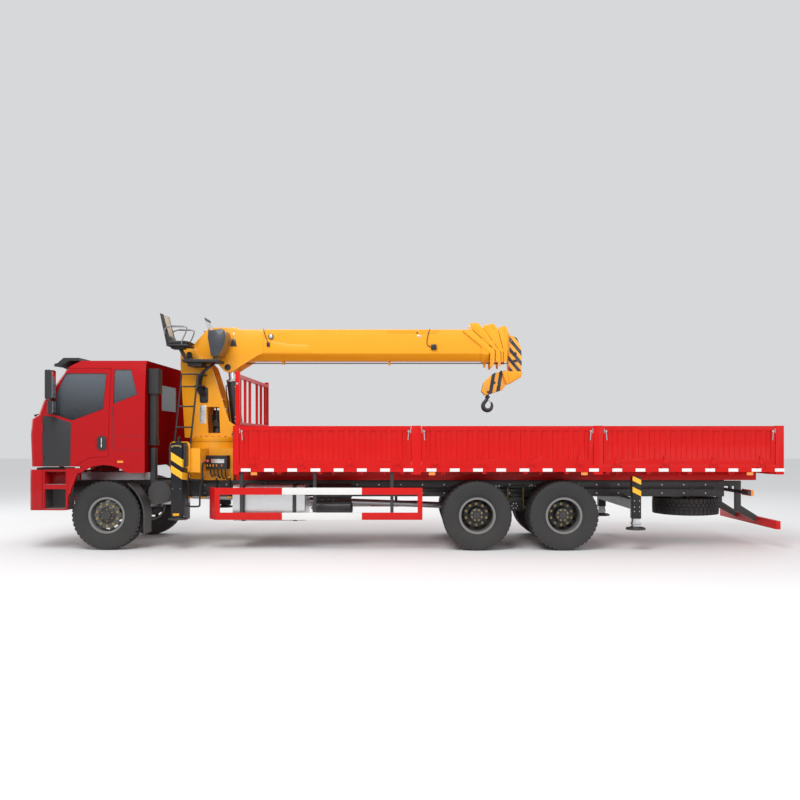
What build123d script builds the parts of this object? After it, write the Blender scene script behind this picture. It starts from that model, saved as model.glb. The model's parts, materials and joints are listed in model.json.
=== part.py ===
"""Truck-mounted crane: a 6x4 drop-side cargo truck with a telescopic boom crane behind its cab.

Millimetres, Z up, X towards the tail and Y towards the truck's right side. Inside this script u is the
distance behind the front bumper, and save() moves each piece so that X = 0 is half way along the truck.
"""
import os
from math import atan2, degrees, hypot

from build123d import *

# Driving sizes of the truck
LENGTH = 11980.0
HALF_WIDTH = 1250.0
FRONT_OVERHANG = 1430.0
WHEELBASE = 5800.0
BOGIE = 1350.0
TYRE_R = 542.5
TYRE_W = 293.0
FRONT_TRACK = 2021.0
REAR_TRACK = 1830.0
DUAL_SPACING = 330.0

# Chassis frame
FRAME_HALF = 430.0
FRAME_TOP = 1060.0
FRAME_H = 270.0
FRAME_FLANGE = 80.0
FRAME_WALL = 8.0
FRAME_FRONT = 500.0
FRAME_REAR = LENGTH - 610.0
CROSS_W = 60.0
CROSS_Z = (860.0, 1020.0)

# Cab
CAB_HALF = 1240.0
CAB_REAR = 2064.0
CAB_WALL = 48.0
CAB_FLOOR = 1310.0
CAB_FLOOR_T = 50.0
CAB_FRONT_FLOOR = 1440.0
CAB_FENDER_LOW = 1212.0
CAB_ROOF = 2965.0
CAB_PIVOT_U = 400.0
CAB_PIVOT_Z = 1000.0
PIVOT_PIN_R = 20.0
ARCH_Z = 760.0
ARCH_R = 575.0
FLARE_R = 640.0
FLARE_PROUD = 10.0
GLASS_SET = 12.0
GLASS_T = 6.0
DOOR_GAP = 5.0
DOOR_AXIS_U = 482.0
DOOR_AXIS_Y = 1245.0
HINGE_R = 6.5
HANDLE_U = (1302.0, 1503.0)
HANDLE_Z = (1632.0, 1722.0)
BUMPER_Z = (632.0, 1262.0)
BUMPER_MID_TOP = 1180.0
BUMPER_MID_HALF = 1130.0
BUMPER_T = 90.0
STEP_REAR = 870.0
STEP_Z = (655.0, 1031.0)

# Rear end
LAMP_BAR_U = LENGTH - 505.0
GUARD_HALF = HALF_WIDTH - 100.0

# Cargo body
DECK_FRONT = 3434.0
DECK_TOP = 1342.0
FLOOR_T = 50.0
RAIL_Z = (1226.0, 1342.0)
RAIL_T = 60.0
GATE_TOP = 1940.0
GATE_T = 60.0
GATE_SEAT = 0.3
GATE_AXIS_OUT = 12.0
GATE_AXIS_Z = 1336.0
GATE_EYE_R = 9.5
GATE_FRONT = 3538.0
GATE_END = 136.0
POST_W = 165.0
POST_GAP = 8.0
GATE_SIDE_GAP = 8.0
GATE_BORDER = 70.0
GATE_SKIN = 22.0
RIB_PITCH = 165.0
RIB_W = 95.0
RIB_TIP = 65.0
TAIL_FACE = LENGTH - 12.0
POST_T = 55.0
HEADBOARD_TOP = 2790.0

# Crane
SLEW_U = 2850.0
RING_R = 430.0
RING_Z = (1590.0, 1700.0)
COLUMN_FOOT = 1700.3
COLUMN_FLOOR = 1775.0
COLUMN_HALF = 260.0
COLUMN_PLATE = 40.0
LUFF_U = 2478.0
LUFF_Z = 3154.0
LUFF_PIN_R = 45.0
LIFT_LOW_U = 3235.0
LIFT_LOW_Z = 1860.0
LIFT_EYE_U = 3108.0
LIFT_EYE_Z = 2945.0
LIFT_PIN_R = 35.0
BARREL_R = 92.0
BARREL_BORE = 76.0
ROD_R = 50.0
BOOM_HALF = 200.0
BOOM_TOP = 3583.0
BOOM_LOW = 3061.0
BOOM_KNEE = 3179.0
BOOM_LOW_HALF = 110.0
BOOM_WALL = 8.0
BOOM_ROOT = 2640.0
BOOM_MOUTH = 7500.0
SECTION_STEP = 12.0
SECTION_GAP = 6.0
SECTION_WALL = 6.0
PAD_CLEAR = 0.3

# Outriggers
LEG_CLEAR = 0.5
HOUSING_Y = 1000.0
HOUSING_Z = (1211.0, 1584.0)
BEAM_Z = (1240.0, 1555.0)
BEAM_W = 160.0
BEAM_INNER_END = 650.0
LEG_W = 238.0
LEG_Y = (1045.0, 1235.0)
LEG_Z = (535.0, 1683.0)
JACK_W = 120.0
FRONT_FOOT_Z = 480.0
REAR_FOOT_Z = 325.0
REAR_LEG_U = FRONT_OVERHANG + WHEELBASE + BOGIE + 1128.0
REAR_LEG_W = 134.0
REAR_LEG_Y = (1085.0, 1219.0)
REAR_LEG_Z = (500.0, 1153.0)
REAR_JACK_W = 110.0

# Fits
PIN_CLEAR = 0.05
SEAT = 0.3

# Wheel places: axle name, u, hub face of the wheel
AXLES = {"front": FRONT_OVERHANG, "rear1": FRONT_OVERHANG + WHEELBASE,
         "rear2": FRONT_OVERHANG + WHEELBASE + BOGIE}
KINGPIN_Y = FRONT_TRACK / 2 - 110.5
KINGPIN_R = 20.0
SPINDLE_R = 45.0
REAR_SPINDLE_R = 60.0
BEAD_R = 262.0
HAND_HOLES = 10
HAND_R = 18.0
HAND_RING = 223.0

# Cab plan at each height: z, u at the middle, u at the corner, half width
CAB_PLANS = (
    (1212.0, 36.0, 320.0, 1240.0),
    (1811.0, 16.0, 296.0, 1240.0),
    (2048.0, 34.0, 316.0, 1240.0),
    (2115.0, 120.0, 420.0, 1236.0),
    (2336.0, 190.0, 495.0, 1226.0),
    (2587.0, 370.0, 680.0, 1210.0),
    (2873.0, 570.0, 870.0, 1180.0),
    (2965.0, 720.0, 1010.0, 1120.0),
)
CAB_CORNER_R = 110.0
ROOF_RIBS = (120.0, 360.0, 600.0, 840.0)

# Side outlines in u and z
DOOR_OUTLINE = ((475, 1306), (1000, 1306), (1110, 1400), (1230, 1446), (1500, 1460), (1529, 2841),
                (812, 2841), (700, 2660), (596, 2440), (505, 2200), (475, 2109))
DOOR_WINDOW = ((652, 2120), (940, 2026), (1417, 2206), (1455, 2762), (815, 2762), (690, 2453))
QUARTER_WINDOW = ((1577, 2820), (1836, 2820), (1941, 2430), (1575, 2285))
COLUMN_OUTLINE = ((2400, 1764), (2328, 2975), (2328, 3240), (2400, 3300), (2560, 3300), (2640, 3180),
                  (2840, 2957), (3140, 2040), (3330, 1900), (3270, 1764))
ROOT_OUTLINE = ((2397, 3230), (2410, 3590), (2440, 3613), (3274, 3613), (3300, 3575), (3711, 3575),
                (3711, 3184), (3611, 3143), (3200, 2885), (3108, 2862), (3040, 2890), (2900, 3055),
                (2640, 3080), (2470, 3064), (2410, 3110))
TIP_OUTLINE = ((7832, 3482), (7884, 3494), (7981, 3449), (8056, 3259), (8062, 3024), (8050, 2786),
               (7883, 2687), (7812.3, 2669.1), (7729.3, 2880.1), (7848, 2930))
HOOK_PIVOT = (7724.3, 2893.1)
HOOK_EAR = ((7690, 2872), (7727, 2878.5), (7730, 2890), (7716, 2902), (7700, 2890))
BLOCK_OUTLINE = ((7611, 2868), (7729, 2880), (7812, 2669), (7741, 2575), (7529, 2504), (7446, 2486),
                 (7386, 2551), (7423, 2704), (7541, 2821))


def block(u, y, z):
    """A box from its low and high u, y and z."""
    middle = Pos((u[0] + u[1]) / 2, (y[0] + y[1]) / 2, (z[0] + z[1]) / 2)
    return middle * Box(u[1] - u[0], y[1] - y[0], z[1] - z[0])


def side_prism(outline, y):
    """A closed outline in u and z, as thick as from y[0] to y[1]."""
    face = Plane.XZ.offset(-y[1]) * make_face(Polyline(*outline, close=True))
    return extrude(face, amount=y[1] - y[0], dir=(0, -1, 0))


def front_prism(outline, u):
    """A closed outline in y and z, as long as from u[0] to u[1]."""
    face = Plane.YZ.offset(u[0]) * make_face(Polyline(*outline, close=True))
    return extrude(face, amount=u[1] - u[0], dir=(1, 0, 0))


def rod(start, end, radius):
    """A round bar between two points."""
    start, end = Vector(*start), Vector(*end)
    plane = Plane(origin=start, z_dir=end - start)
    return plane * Cylinder(radius, (end - start).length, align=(Align.CENTER, Align.CENTER, Align.MIN))


def cross_bar(u, z, y, radius):
    """A round bar along Y."""
    return rod((u, y[0], z), (u, y[1], z), radius)


def other_side(piece):
    """The same piece on the truck's other side."""
    return mirror(piece, about=Plane.XZ)


def both_sides(piece):
    """The piece and its mirror image."""
    return piece + other_side(piece)


def save(name, piece):
    """Write one piece, with X = 0 half way along the truck."""
    export_step(Pos(-LENGTH / 2, 0, 0) * piece, f"parts/{name}.step")


# Wheels

def turned(outline, centre):
    """A ring about a wheel's axle, from an outline in radius and distance out from the wheel's centre."""
    ring = revolve(make_face(Polyline(*outline, close=True)), axis=Axis.Y)
    return Pos(*centre) * ring


def tyre(centre):
    """One tyre: flat beads, bulging sides, sloped shoulders and a flat crown."""
    half = TYRE_W / 2
    side = ((BEAD_R, half - 38.5), (BEAD_R + 28, half - 38.5), (TYRE_R - 112, half), (TYRE_R - 22, half - 12),
            (TYRE_R, half - 38.5))
    outline = side + tuple((r, -y) for r, y in reversed(side))
    return turned(outline, centre)


def rim_barrel(centre):
    """The ring that carries a tyre, with a flange at each bead."""
    seat = BEAD_R - SEAT
    bead = TYRE_W / 2 - 38.5 + SEAT
    outline = ((seat - 14, -bead - 12), (seat + 24, -bead - 12), (seat + 24, -bead), (seat, -bead),
               (seat, bead), (seat + 24, bead), (seat + 24, bead + 12), (seat - 14, bead + 12))
    return turned(outline, centre)


def hand_holes(centre, out):
    """The round hand holes through a wheel's disc, from out[0] to out[1] along its axle."""
    hole = cross_bar(HAND_RING, 0, out, HAND_R)
    turns = [(i + 0.5) * 360 / HAND_HOLES for i in range(HAND_HOLES)]
    return [Pos(*centre) * Rot(0, turn, 0) * hole for turn in turns]


def front_wheel():
    """Tyre and rim of the right front wheel; the disc is dished outwards."""
    centre = (AXLES["front"], FRONT_TRACK / 2, TYRE_R)
    bore = SPINDLE_R + PIN_CLEAR
    disc = ((bore, 20), (bore, 95), (60, 140), (138, 140), (142, 72), (200, 84), (BEAD_R - 12, 40),
            (BEAD_R - 12, 24), (196, 68), (142, 56), (138, 20))
    rim = rim_barrel(centre) + turned(disc, centre) - hand_holes(centre, (0, 100))
    cap = Pos(centre[0], centre[1] + 130, centre[2]) * Rot(90, 0, 0) * Cylinder(62, 20)
    return tyre(centre), rim + cap


def rear_wheel(axle):
    """The right twin wheel of a rear axle: two tyres, and two rims bolted together on one hub."""
    middle = (AXLES[axle], REAR_TRACK / 2, TYRE_R)
    centres = [(AXLES[axle], REAR_TRACK / 2 + out * DUAL_SPACING / 2, TYRE_R) for out in (-1, 1)]
    bore = REAR_SPINDLE_R + PIN_CLEAR
    hub = turned(((bore, -60), (bore, 90), (40, 120), (40, 190), (100, 190), (107, 180), (112, 22), (196, 14),
                  (BEAD_R - 12, 60), (BEAD_R - 12, 44), (200, 0), (BEAD_R - 12, -44), (BEAD_R - 12, -60),
                  (196, -14), (120, -22), (120, -60)), middle)
    hub -= hand_holes(middle, (-70, 70))
    end = Pos(middle[0], middle[1] + 180, middle[2]) * Rot(90, 0, 0) * Cylinder(45, 20)
    return [tyre(c) for c in centres], hub + end + [rim_barrel(c) for c in centres]


# Chassis

def frame_rail():
    """The right rail, a channel open to the middle."""
    out, low, top = FRAME_HALF, FRAME_TOP - FRAME_H, FRAME_TOP
    inner = out - FRAME_FLANGE
    web = out - FRAME_WALL
    outline = ((out, low), (out, top), (inner, top), (inner, top - FRAME_WALL), (web, top - FRAME_WALL),
               (web, low + FRAME_WALL), (inner, low + FRAME_WALL), (inner, low))
    return front_prism(outline, (FRAME_FRONT, FRAME_REAR))


SPARE_U = FRAME_REAR - 500.0
CROSS_PLACES = (FRAME_FRONT + 40, 2500.0, 3500.0, 4700.0, 5900.0, AXLES["rear1"] - 380,
                AXLES["rear1"] + BOGIE / 2, AXLES["rear2"] + 520, REAR_LEG_U + 492, SPARE_U, FRAME_REAR - 40)


def frame():
    """Rails, crossmembers, spring hangers, cab pivots and the rear outriggers' fixed beam and legs."""
    web = FRAME_HALF - FRAME_WALL
    body = both_sides(frame_rail())
    for u in CROSS_PLACES:
        body += block((u - CROSS_W / 2, u + CROSS_W / 2), (-web, web), CROSS_Z)
    low = FRAME_TOP - FRAME_H
    for u, z in ((820.0, 640.0), (2040.0, 640.0)):
        body += both_sides(block((u - 25, u + 25), (355, 425), (z, low)))
    bracket = block((360, FRAME_FRONT + 60), (438, 458), (960, 1050))
    bracket += block((FRAME_FRONT, FRAME_FRONT + 60), (FRAME_HALF, 438), (960, 1050))
    pin = cross_bar(CAB_PIVOT_U, CAB_PIVOT_Z, (375, 458), PIVOT_PIN_R)
    body += both_sides(bracket + pin)
    half = REAR_LEG_W / 2
    beam = block((REAR_LEG_U - half, REAR_LEG_U + half), (-REAR_LEG_Y[0], REAR_LEG_Y[0]), (low - 150, low))
    leg = block((REAR_LEG_U - half, REAR_LEG_U + half), REAR_LEG_Y, REAR_LEG_Z)
    hole = REAR_JACK_W / 2 + LEG_CLEAR
    middle = (REAR_LEG_Y[0] + REAR_LEG_Y[1]) / 2
    leg -= block((REAR_LEG_U - hole, REAR_LEG_U + hole), (middle - hole, middle + hole),
                 (REAR_LEG_Z[0], REAR_LEG_Z[1] - 12))
    return body + beam + both_sides(leg)


def leaf_pack(ends, middle, y):
    """A leaf spring seen from the side: ends (u, z), middle (u, z) and how thick it is there."""
    (u0, z0), (u1, z1) = ends
    um, zm, thick = middle
    return side_prism(((u0, z0), (um, zm), (u1, z1), (u1, z1 + 25), (um, zm + thick), (u0, z0 + 25)), y)


def running_gear():
    """Front axle beam, rear axle housings and all leaf springs."""
    front = AXLES["front"]
    low, high = TYRE_R - 112.5, TYRE_R + 61.5
    beam = block((front - 40, front + 40), (-KINGPIN_Y + 65, KINGPIN_Y - 65), (low, low + 80))
    boss = Pos(front, KINGPIN_Y, TYRE_R - 0.5) * (Cylinder(40, 130) - Cylinder(KINGPIN_R + PIN_CLEAR, 130))
    rise = block((front - 40, front + 40), (KINGPIN_Y - 120, KINGPIN_Y - 65), (low, high))
    rise += block((front - 30, front + 30), (KINGPIN_Y - 66, KINGPIN_Y - 28), (low + 52, high))
    gear = beam + both_sides(boss + rise)
    gear += both_sides(leaf_pack(((800, 615), (2060, 615)), (front, 510, 60), (355, 425)))
    for axle in ("rear1", "rear2"):
        u = AXLES[axle]
        inner, outer = REAR_TRACK / 2 - 65, REAR_TRACK / 2 + 55
        gear += cross_bar(u, TYRE_R, (-inner, inner), 78)
        gear += cross_bar(u, TYRE_R, (-outer, outer), REAR_SPINDLE_R)
        gear += rod((u - 190, 0, TYRE_R + 20), (u + 190, 0, TYRE_R + 20), 170)
    mid = (AXLES["rear1"] + AXLES["rear2"]) / 2
    spring = leaf_pack(((AXLES["rear1"] - 60, 600), (AXLES["rear2"] + 60, 600)), (mid, 660, 120), (450, 540))
    trunnion = block((mid - 110, mid + 110), (FRAME_HALF, 540), (560, 780))
    trunnion += block((mid - 60, mid + 60), (380, FRAME_HALF), (560, 790))
    return gear + both_sides(spring + trunnion)


def engine():
    """Engine and gearbox as plain blocks on their mounts, and the drive shafts."""
    web = FRAME_HALF - FRAME_WALL
    body = block((700, 1750), (-340, 340), (560, 1190)) + block((1750, 2350), (-220, 220), (640, 1000))
    body += block((1000, 1100), (-web, web), (900, 960))
    body += rod((2350, 0, 780), (AXLES["rear1"] - 192, 0, 600), 52)
    body += rod((AXLES["rear1"] + 190 + SEAT, 0, 600), (AXLES["rear2"] - 190 - SEAT, 0, 600), 48)
    return body


def knuckle():
    """Right steering knuckle: kingpin, its two lugs, the plate and the wheel's spindle."""
    u, low, high = AXLES["front"], TYRE_R - 72.5, TYRE_R + 71.5
    pin = rod((u, KINGPIN_Y, low - 28), (u, KINGPIN_Y, high + 28), KINGPIN_R)
    plate = block((u - 45, u + 45), (KINGPIN_Y + 48, KINGPIN_Y + 72), (low - 28, high + 28))
    lugs = block((u - 40, u + 40), (KINGPIN_Y - 38, KINGPIN_Y + 48), (low - 28, low))
    lugs += block((u - 40, u + 40), (KINGPIN_Y - 38, KINGPIN_Y + 48), (high, high + 28))
    spindle = cross_bar(u, TYRE_R, (KINGPIN_Y + 72, FRONT_TRACK / 2 + 90), SPINDLE_R)
    return pin + plate + lugs + spindle


FUEL_U = (3400.0, 4530.0)
FUEL_Y = (-1120.0, -560.0)
FUEL_Z = (450.0, 1010.0)
FUEL_CORNER = 90.0
STRAP_T = 6.0


def tanks():
    """Fuel tank, two air tanks and the right-hand silencer with their brackets to the frame."""
    fuel = block(FUEL_U, FUEL_Y, FUEL_Z)
    fuel = fillet(fuel.edges().filter_by(Axis.X), FUEL_CORNER)
    for u in (FUEL_U[0] + 160, FUEL_U[1] - 160):
        strap = block((u - 30, u + 30), (FUEL_Y[0] - STRAP_T, FUEL_Y[1] + STRAP_T),
                      (FUEL_Z[0] - STRAP_T, FUEL_Z[1] + STRAP_T))
        fuel += fillet(strap.edges().filter_by(Axis.X), FUEL_CORNER + STRAP_T)
        fuel += block((u - 40, u + 40), (FUEL_Y[1] - 10, -FRAME_HALF), (700, 960))
    air = rod((4640, -800, 900), (5230, -800, 900), 125) + rod((4640, -800, 630), (5230, -800, 630), 125)
    air += block((4800, 4860), (-800, -FRAME_HALF), (600, 930))
    box = block((3450, 4250), (560, 1090), (500, 1000))
    box = fillet(box.edges().filter_by(Axis.X), 60)
    for u in (3640, 4060):
        box += block((u - 40, u + 40), (FRAME_HALF, 570), (800, 960))
    return fuel + air + box


def side_guards():
    """Two rails a side below the cargo body, on posts that hang from it."""
    guard = Part()
    for z in ((874.0, 981.0), (483.0, 595.0)):
        guard += block((3154, 6375), (HALF_WIDTH - 30, HALF_WIDTH), z)
    for u in (3154.0, 6300.0):
        guard += block((u, u + 75), (HALF_WIDTH - 30, HALF_WIDTH), (483, 981))
    for u in (3560.0, 4700.0, 5900.0):
        guard += block((u - 25, u + 25), (HALF_WIDTH - 60, HALF_WIDTH - 30), (483, RAIL_Z[0]))
    return both_sides(guard)


# Cab

def plan_face(z, front, corner, half, rear, radius):
    """A plan outline with a curved front and rounded front corners."""
    nose = ThreePointArc((corner, -half), (front, 0), (corner, half))
    rest = Polyline((corner, half), (rear, half), (rear, -half), (corner, -half))
    face = make_face([nose, rest])
    fronts = face.vertices().sort_by(Axis.X)[:2]
    return Pos(0, 0, z) * fillet(fronts, radius)


def cab_form(inset):
    """The cab's outside, or a form that lies inset from it on every side."""
    faces = []
    for z, front, corner, half in CAB_PLANS:
        level = z
        if z == CAB_ROOF:
            level = z - inset
        faces.append(plan_face(level, front + inset * 1.15, corner + inset, half - inset, CAB_REAR - inset,
                               CAB_CORNER_R - inset))
    return loft(faces, ruled=True)


def window_cut(outline, shrink, side_y):
    """A prism of a door or side window, shrunk by the given width."""
    face = make_face(Polyline(*outline, close=True))
    if shrink:
        face = offset(face, -shrink, kind=Kind.INTERSECTION)
    return extrude(Plane.XZ.offset(-side_y[1]) * face, amount=side_y[1] - side_y[0], dir=(0, -1, 0))


SIDE_BAND = (1080.0, 1300.0)
SCREEN_Z = (2150.0, 2835.0)
SCREEN_HALF = 1060.0
REAR_GLASS_Z = (2210.0, 2630.0)
REAR_GLASS_HALF = 420.0


def screen_cut(shrink):
    """The windscreen's prism, wider at the bottom than at the top."""
    low, high = SCREEN_Z[0] + shrink, SCREEN_Z[1] - shrink
    half = SCREEN_HALF - shrink
    return front_prism(((-half, low), (half, low), (half - 60, high), (-half + 60, high)), (-50, 1050))


def rear_cut(shrink):
    """The rear window's prism."""
    half = REAR_GLASS_HALF - shrink
    z = (REAR_GLASS_Z[0] + shrink, REAR_GLASS_Z[1] - shrink)
    return block((CAB_REAR - 200, CAB_REAR + 50), (-half, half), z)


def wheel_arch():
    """What the two front wheel arches take out of the cab."""
    arch = cross_bar(AXLES["front"], ARCH_Z, (820, 1300), ARCH_R)
    return both_sides(arch)


def flare():
    """The lip round the right wheel arch, above the cab's lower edge."""
    lip = cross_bar(AXLES["front"], ARCH_Z, (CAB_HALF - 30, CAB_HALF + FLARE_PROUD), FLARE_R)
    lip -= cross_bar(AXLES["front"], ARCH_Z, (CAB_HALF - 40, CAB_HALF + 20), ARCH_R)
    return lip & block((1000, CAB_REAR), (1000, 1300), (CAB_FENDER_LOW, 2000))


def cab_skin():
    """The hollow cab body before doors and windows are cut."""
    outer = cab_form(0)
    room = cab_form(CAB_WALL) & block((0, CAB_REAR), (-1300, 1300), (CAB_FLOOR + CAB_FLOOR_T, CAB_ROOF))
    skin = outer - room
    skin -= block((-100, CAB_REAR + 100), (-(CAB_HALF - 260), CAB_HALF - 260), (1000, CAB_FLOOR))
    skin -= both_sides(block((-100, 1240), (900, 1300), (1000, CAB_FLOOR)))
    well = cab_form(CAB_WALL) & block((0, 430), (-1300, 1300), (1100, CAB_FRONT_FLOOR))
    lining = cab_form(CAB_WALL - 1)
    front_floor = lining & block((0, 480), (-1300, 1300), (CAB_FRONT_FLOOR, CAB_FRONT_FLOOR + 45))
    riser = lining & block((430, 480), (-1300, 1300), (CAB_FLOOR, CAB_FRONT_FLOOR + 45))
    skin = skin - well + front_floor + riser
    for y in ROOF_RIBS:
        skin += both_sides(block((1150, CAB_REAR - 60), (y - 35, y + 35), (CAB_ROOF - 5, CAB_ROOF + 9)))
    skin -= wheel_arch()
    lug = block((CAB_PIVOT_U - 35, CAB_PIVOT_U + 35), (385, 425), (CAB_PIVOT_Z - 35, CAB_FRONT_FLOOR + 1))
    lug -= cross_bar(CAB_PIVOT_U, CAB_PIVOT_Z, (380, 430), PIVOT_PIN_R + PIN_CLEAR)
    return skin + both_sides(flare() + lug)


def cab_shell(skin):
    """The cab body with its doors, windows and windscreen cut out."""
    cuts = window_cut(DOOR_OUTLINE, 0, SIDE_BAND) + window_cut(QUARTER_WINDOW, 0, SIDE_BAND)
    return skin - both_sides(cuts) - screen_cut(0) - rear_cut(0)


def door(skin_form):
    """Right door without its glass, with its mirror on an arm."""
    panel = skin_form & window_cut(DOOR_OUTLINE, DOOR_GAP, SIDE_BAND)
    panel -= window_cut(DOOR_WINDOW, 0, SIDE_BAND)
    panel -= block(HANDLE_U, (CAB_HALF - 16, CAB_HALF + 1), HANDLE_Z)
    panel += block((HANDLE_U[0] + 62, HANDLE_U[1] - 12), (CAB_HALF - 5, CAB_HALF + 12), (1662, 1692))
    panel += block((HANDLE_U[1] - 30, HANDLE_U[1] - 12), (CAB_HALF - 20, CAB_HALF), (1662, 1692))
    panel += block((HANDLE_U[0] + 62, HANDLE_U[0] + 80), (CAB_HALF - 20, CAB_HALF), (1662, 1692))
    arm = block((560, 620), (1225, 1300), (2770, 2800)) + block((560, 620), (1225, 1300), (2330, 2356))
    head = block((532, 650), (1290, 1440), (2356, 2791)) + block((560, 650), (1290, 1420), (2123, 2325))
    head = fillet(head.edges().filter_by(Axis.Z), 25)
    link = block((585, 610), (1300, 1330), (2320, 2360))
    for z in (1450, 1900):
        panel += rod((DOOR_AXIS_U, DOOR_AXIS_Y, z - 50), (DOOR_AXIS_U, DOOR_AXIS_Y, z + 50), HINGE_R)
    return panel + arm + head + link


def glazing(inner_set):
    """The sheet of glass that all the cab's windows are cut from."""
    return cab_form(GLASS_SET) - cab_form(GLASS_SET + inner_set)


def cab_glass(sheet):
    """Windscreen, rear window and the two quarter windows."""
    sides = both_sides(window_cut(QUARTER_WINDOW, SEAT, SIDE_BAND))
    return (sheet & screen_cut(SEAT)) + (sheet & rear_cut(SEAT)) + (sheet & sides)


def grille():
    """The front grille: a panel that follows the nose, with level slots."""
    cover = cab_form(-14) - cab_form(-SEAT)
    panel = cover & block((-100, 400), (-760, 760), (1420, 1990))
    for z in range(1490, 1930, 85):
        panel -= block((-100, 400), (-680, 680), (z, z + 45))
    return panel


def cab_interior():
    """Seats, dashboard and steering wheel."""
    floor = CAB_FLOOR + CAB_FLOOR_T
    room = cab_form(CAB_WALL + SEAT)
    dash = room & side_prism(((300, 1750), (620, 1700), (700, 1900), (640, 2060), (400, 2090), (300, 2080)),
                             (-1130, 1130))
    post = block((500, 560), (-60, 60), (CAB_FRONT_FLOOR + 45, 1760)) & room
    seats = Part()
    for y in (-620.0, 620.0):
        seats += block((1050, 1500), (y - 240, y + 240), (floor, 1640))
        seats += side_prism(((1040, 1640), (1540, 1640), (1540, 1760), (1040, 1790)), (y - 250, y + 250))
        seats += side_prism(((1500, 1700), (1640, 2420), (1560, 2440), (1400, 1760)), (y - 245, y + 245))
    wheel = Pos(800, -620, 2060) * Rot(0, 60, 0) * Torus(220, 16)
    stem = rod((560, -620, 1950), (800, -620, 2060), 24)
    spokes = Pos(800, -620, 2060) * Rot(0, 60, 0) * Box(40, 440, 14)
    return dash + post + seats + wheel + stem + spokes


def cab_trim():
    """Sun visor and the air intake stack on the cab's left rear corner."""
    edge = cab_form(-SEAT)
    visor = (cab_form(-55) - edge) & block((300, 1130), (-1060, 1060), (2875, 3010))
    lip = cab_form(-75) & block((380, 900), (-1050, 1050), (2895, 2925))
    visor = visor + (lip - edge)
    y = (-1110.0, -900.0)
    pipe = block((2075, 2185), (y[0] + 30, y[1] - 30), (1640, 2560))
    pipe += block((2066 + SEAT, 2235), y, (2450, 2843))
    head = fillet(pipe.edges().filter_by(Axis.Z), 30)
    clip = block((CAB_REAR + SEAT, 2080), (y[0] + 50, y[1] - 50), (1700, 1740))
    return visor + head + clip


def bumper():
    """Front bumper with its lamp openings, the low grille behind it, and the left and right steps."""
    tall = BUMPER_Z[1] - BUMPER_Z[0]
    outer = extrude(plan_face(BUMPER_Z[0], 0, 290, CAB_HALF, 470, 100), amount=tall, dir=(0, 0, 1))
    inner = extrude(plan_face(BUMPER_Z[0], BUMPER_T, 290 + BUMPER_T, CAB_HALF - 60, 480, 60), amount=tall,
                    dir=(0, 0, 1))
    shell = outer - inner
    shell -= block((-50, 480), (-BUMPER_MID_HALF, BUMPER_MID_HALF), (BUMPER_MID_TOP, 1300))
    shell -= block((-50, 480), (-420, 420), (760, 980))
    shell -= both_sides(lamp_cut(0))
    shell += block((70, 110), (-330, 330), (BUMPER_MID_TOP - 20, 1255))
    bar = block((85, FRAME_FRONT), (360, FRAME_HALF), (880, 950))
    step = side_prism(((478, BUMPER_Z[0]), (840, BUMPER_Z[0]), (STEP_REAR, 700), (STEP_REAR, BUMPER_Z[1]),
                       (478, BUMPER_Z[1])), (CAB_HALF - 60, CAB_HALF))
    for low, high in ((STEP_Z[1], 1235), (STEP_Z[0], 960)):
        step -= block((510, 840), (1100, 1300), (low, high))
    for z in STEP_Z:
        step += block((500, 845), (960, CAB_HALF), (z - 22, z))
    step += block((500, 845), (940, 960), (BUMPER_Z[0], BUMPER_Z[1]))
    step += block((500, 512), (960, CAB_HALF - 40), (BUMPER_Z[0], BUMPER_Z[1]))
    step += block((520, 600), (FRAME_HALF, 940), (900, 950))
    return shell + both_sides(bar + step)


def lamp_cut(shrink):
    """The prism of the right headlamp in the bumper."""
    return block((-50, 460), (640 + shrink, 1130 - shrink), (930 + shrink, 1110 - shrink))


def lamps():
    """Headlamps in the bumper and the tail lamps."""
    outer = extrude(plan_face(900, 8, 298, CAB_HALF - 6, 470, 94), amount=300, dir=(0, 0, 1))
    inner = extrude(plan_face(900, 70, 360, CAB_HALF - 60, 480, 60), amount=300, dir=(0, 0, 1))
    lamp = (outer - inner) & lamp_cut(SEAT)
    tail = block((LAMP_BAR_U + 25, LAMP_BAR_U + 55), (820, 1180), (847, 943))
    return both_sides(lamp) + both_sides(tail)


def mudguards():
    """The front wheels' rear mudguards with their flaps, and the arms to the frame."""
    u, z = AXLES["front"], TYRE_R
    band = cross_bar(u, z, (900, 1235), 632) - cross_bar(u, z, (890, 1240), 612)
    band &= block((1800, 2200), (890, 1240), (502, 1185))
    flap = block((2044, 2056), (900, 1235), (260, 530))
    arm = block((1895, 1945), (FRAME_HALF, 905), (900, 960))
    return both_sides(band + flap + arm)


def air_cleaner():
    """The intake duct below the cab's stack and the round air cleaner."""
    duct = block((2085, 2175), (-1070, -940), (1080, 1600))
    duct = fillet(duct.edges().filter_by(Axis.Z), 30)
    drum = cross_bar(2250, 900, (-1100, -640), 178)
    neck = block((2100, 2200), (-1060, -950), (960, 1090))
    return duct + drum + neck + block((2230, 2290), (-650, -FRAME_HALF), (900, 1000))


def spare_wheel():
    """Spare wheel lying flat under the frame, on its carrier."""
    centre = (SPARE_U, 0, 616)
    half = TYRE_W / 2
    side = ((248, half - 20), (290, half - 26), (430, half), (TYRE_R - 22, half - 12), (TYRE_R, half - 38))
    outline = side + tuple((r, -y) for r, y in reversed(side))
    ring = revolve(make_face(Polyline(*outline, close=True)), axis=Axis.Y)
    wheel = Pos(*centre) * Rot(90, 0, 0) * ring
    disc = Pos(SPARE_U, 0, 650) * Cylinder(255, 14)
    carrier = rod((SPARE_U, 0, 560), (SPARE_U, 0, CROSS_Z[0] - SEAT), 30)
    carrier += block((SPARE_U - 100, SPARE_U + 100), (-60, 60), (560, 575))
    return wheel + disc + carrier


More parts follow.
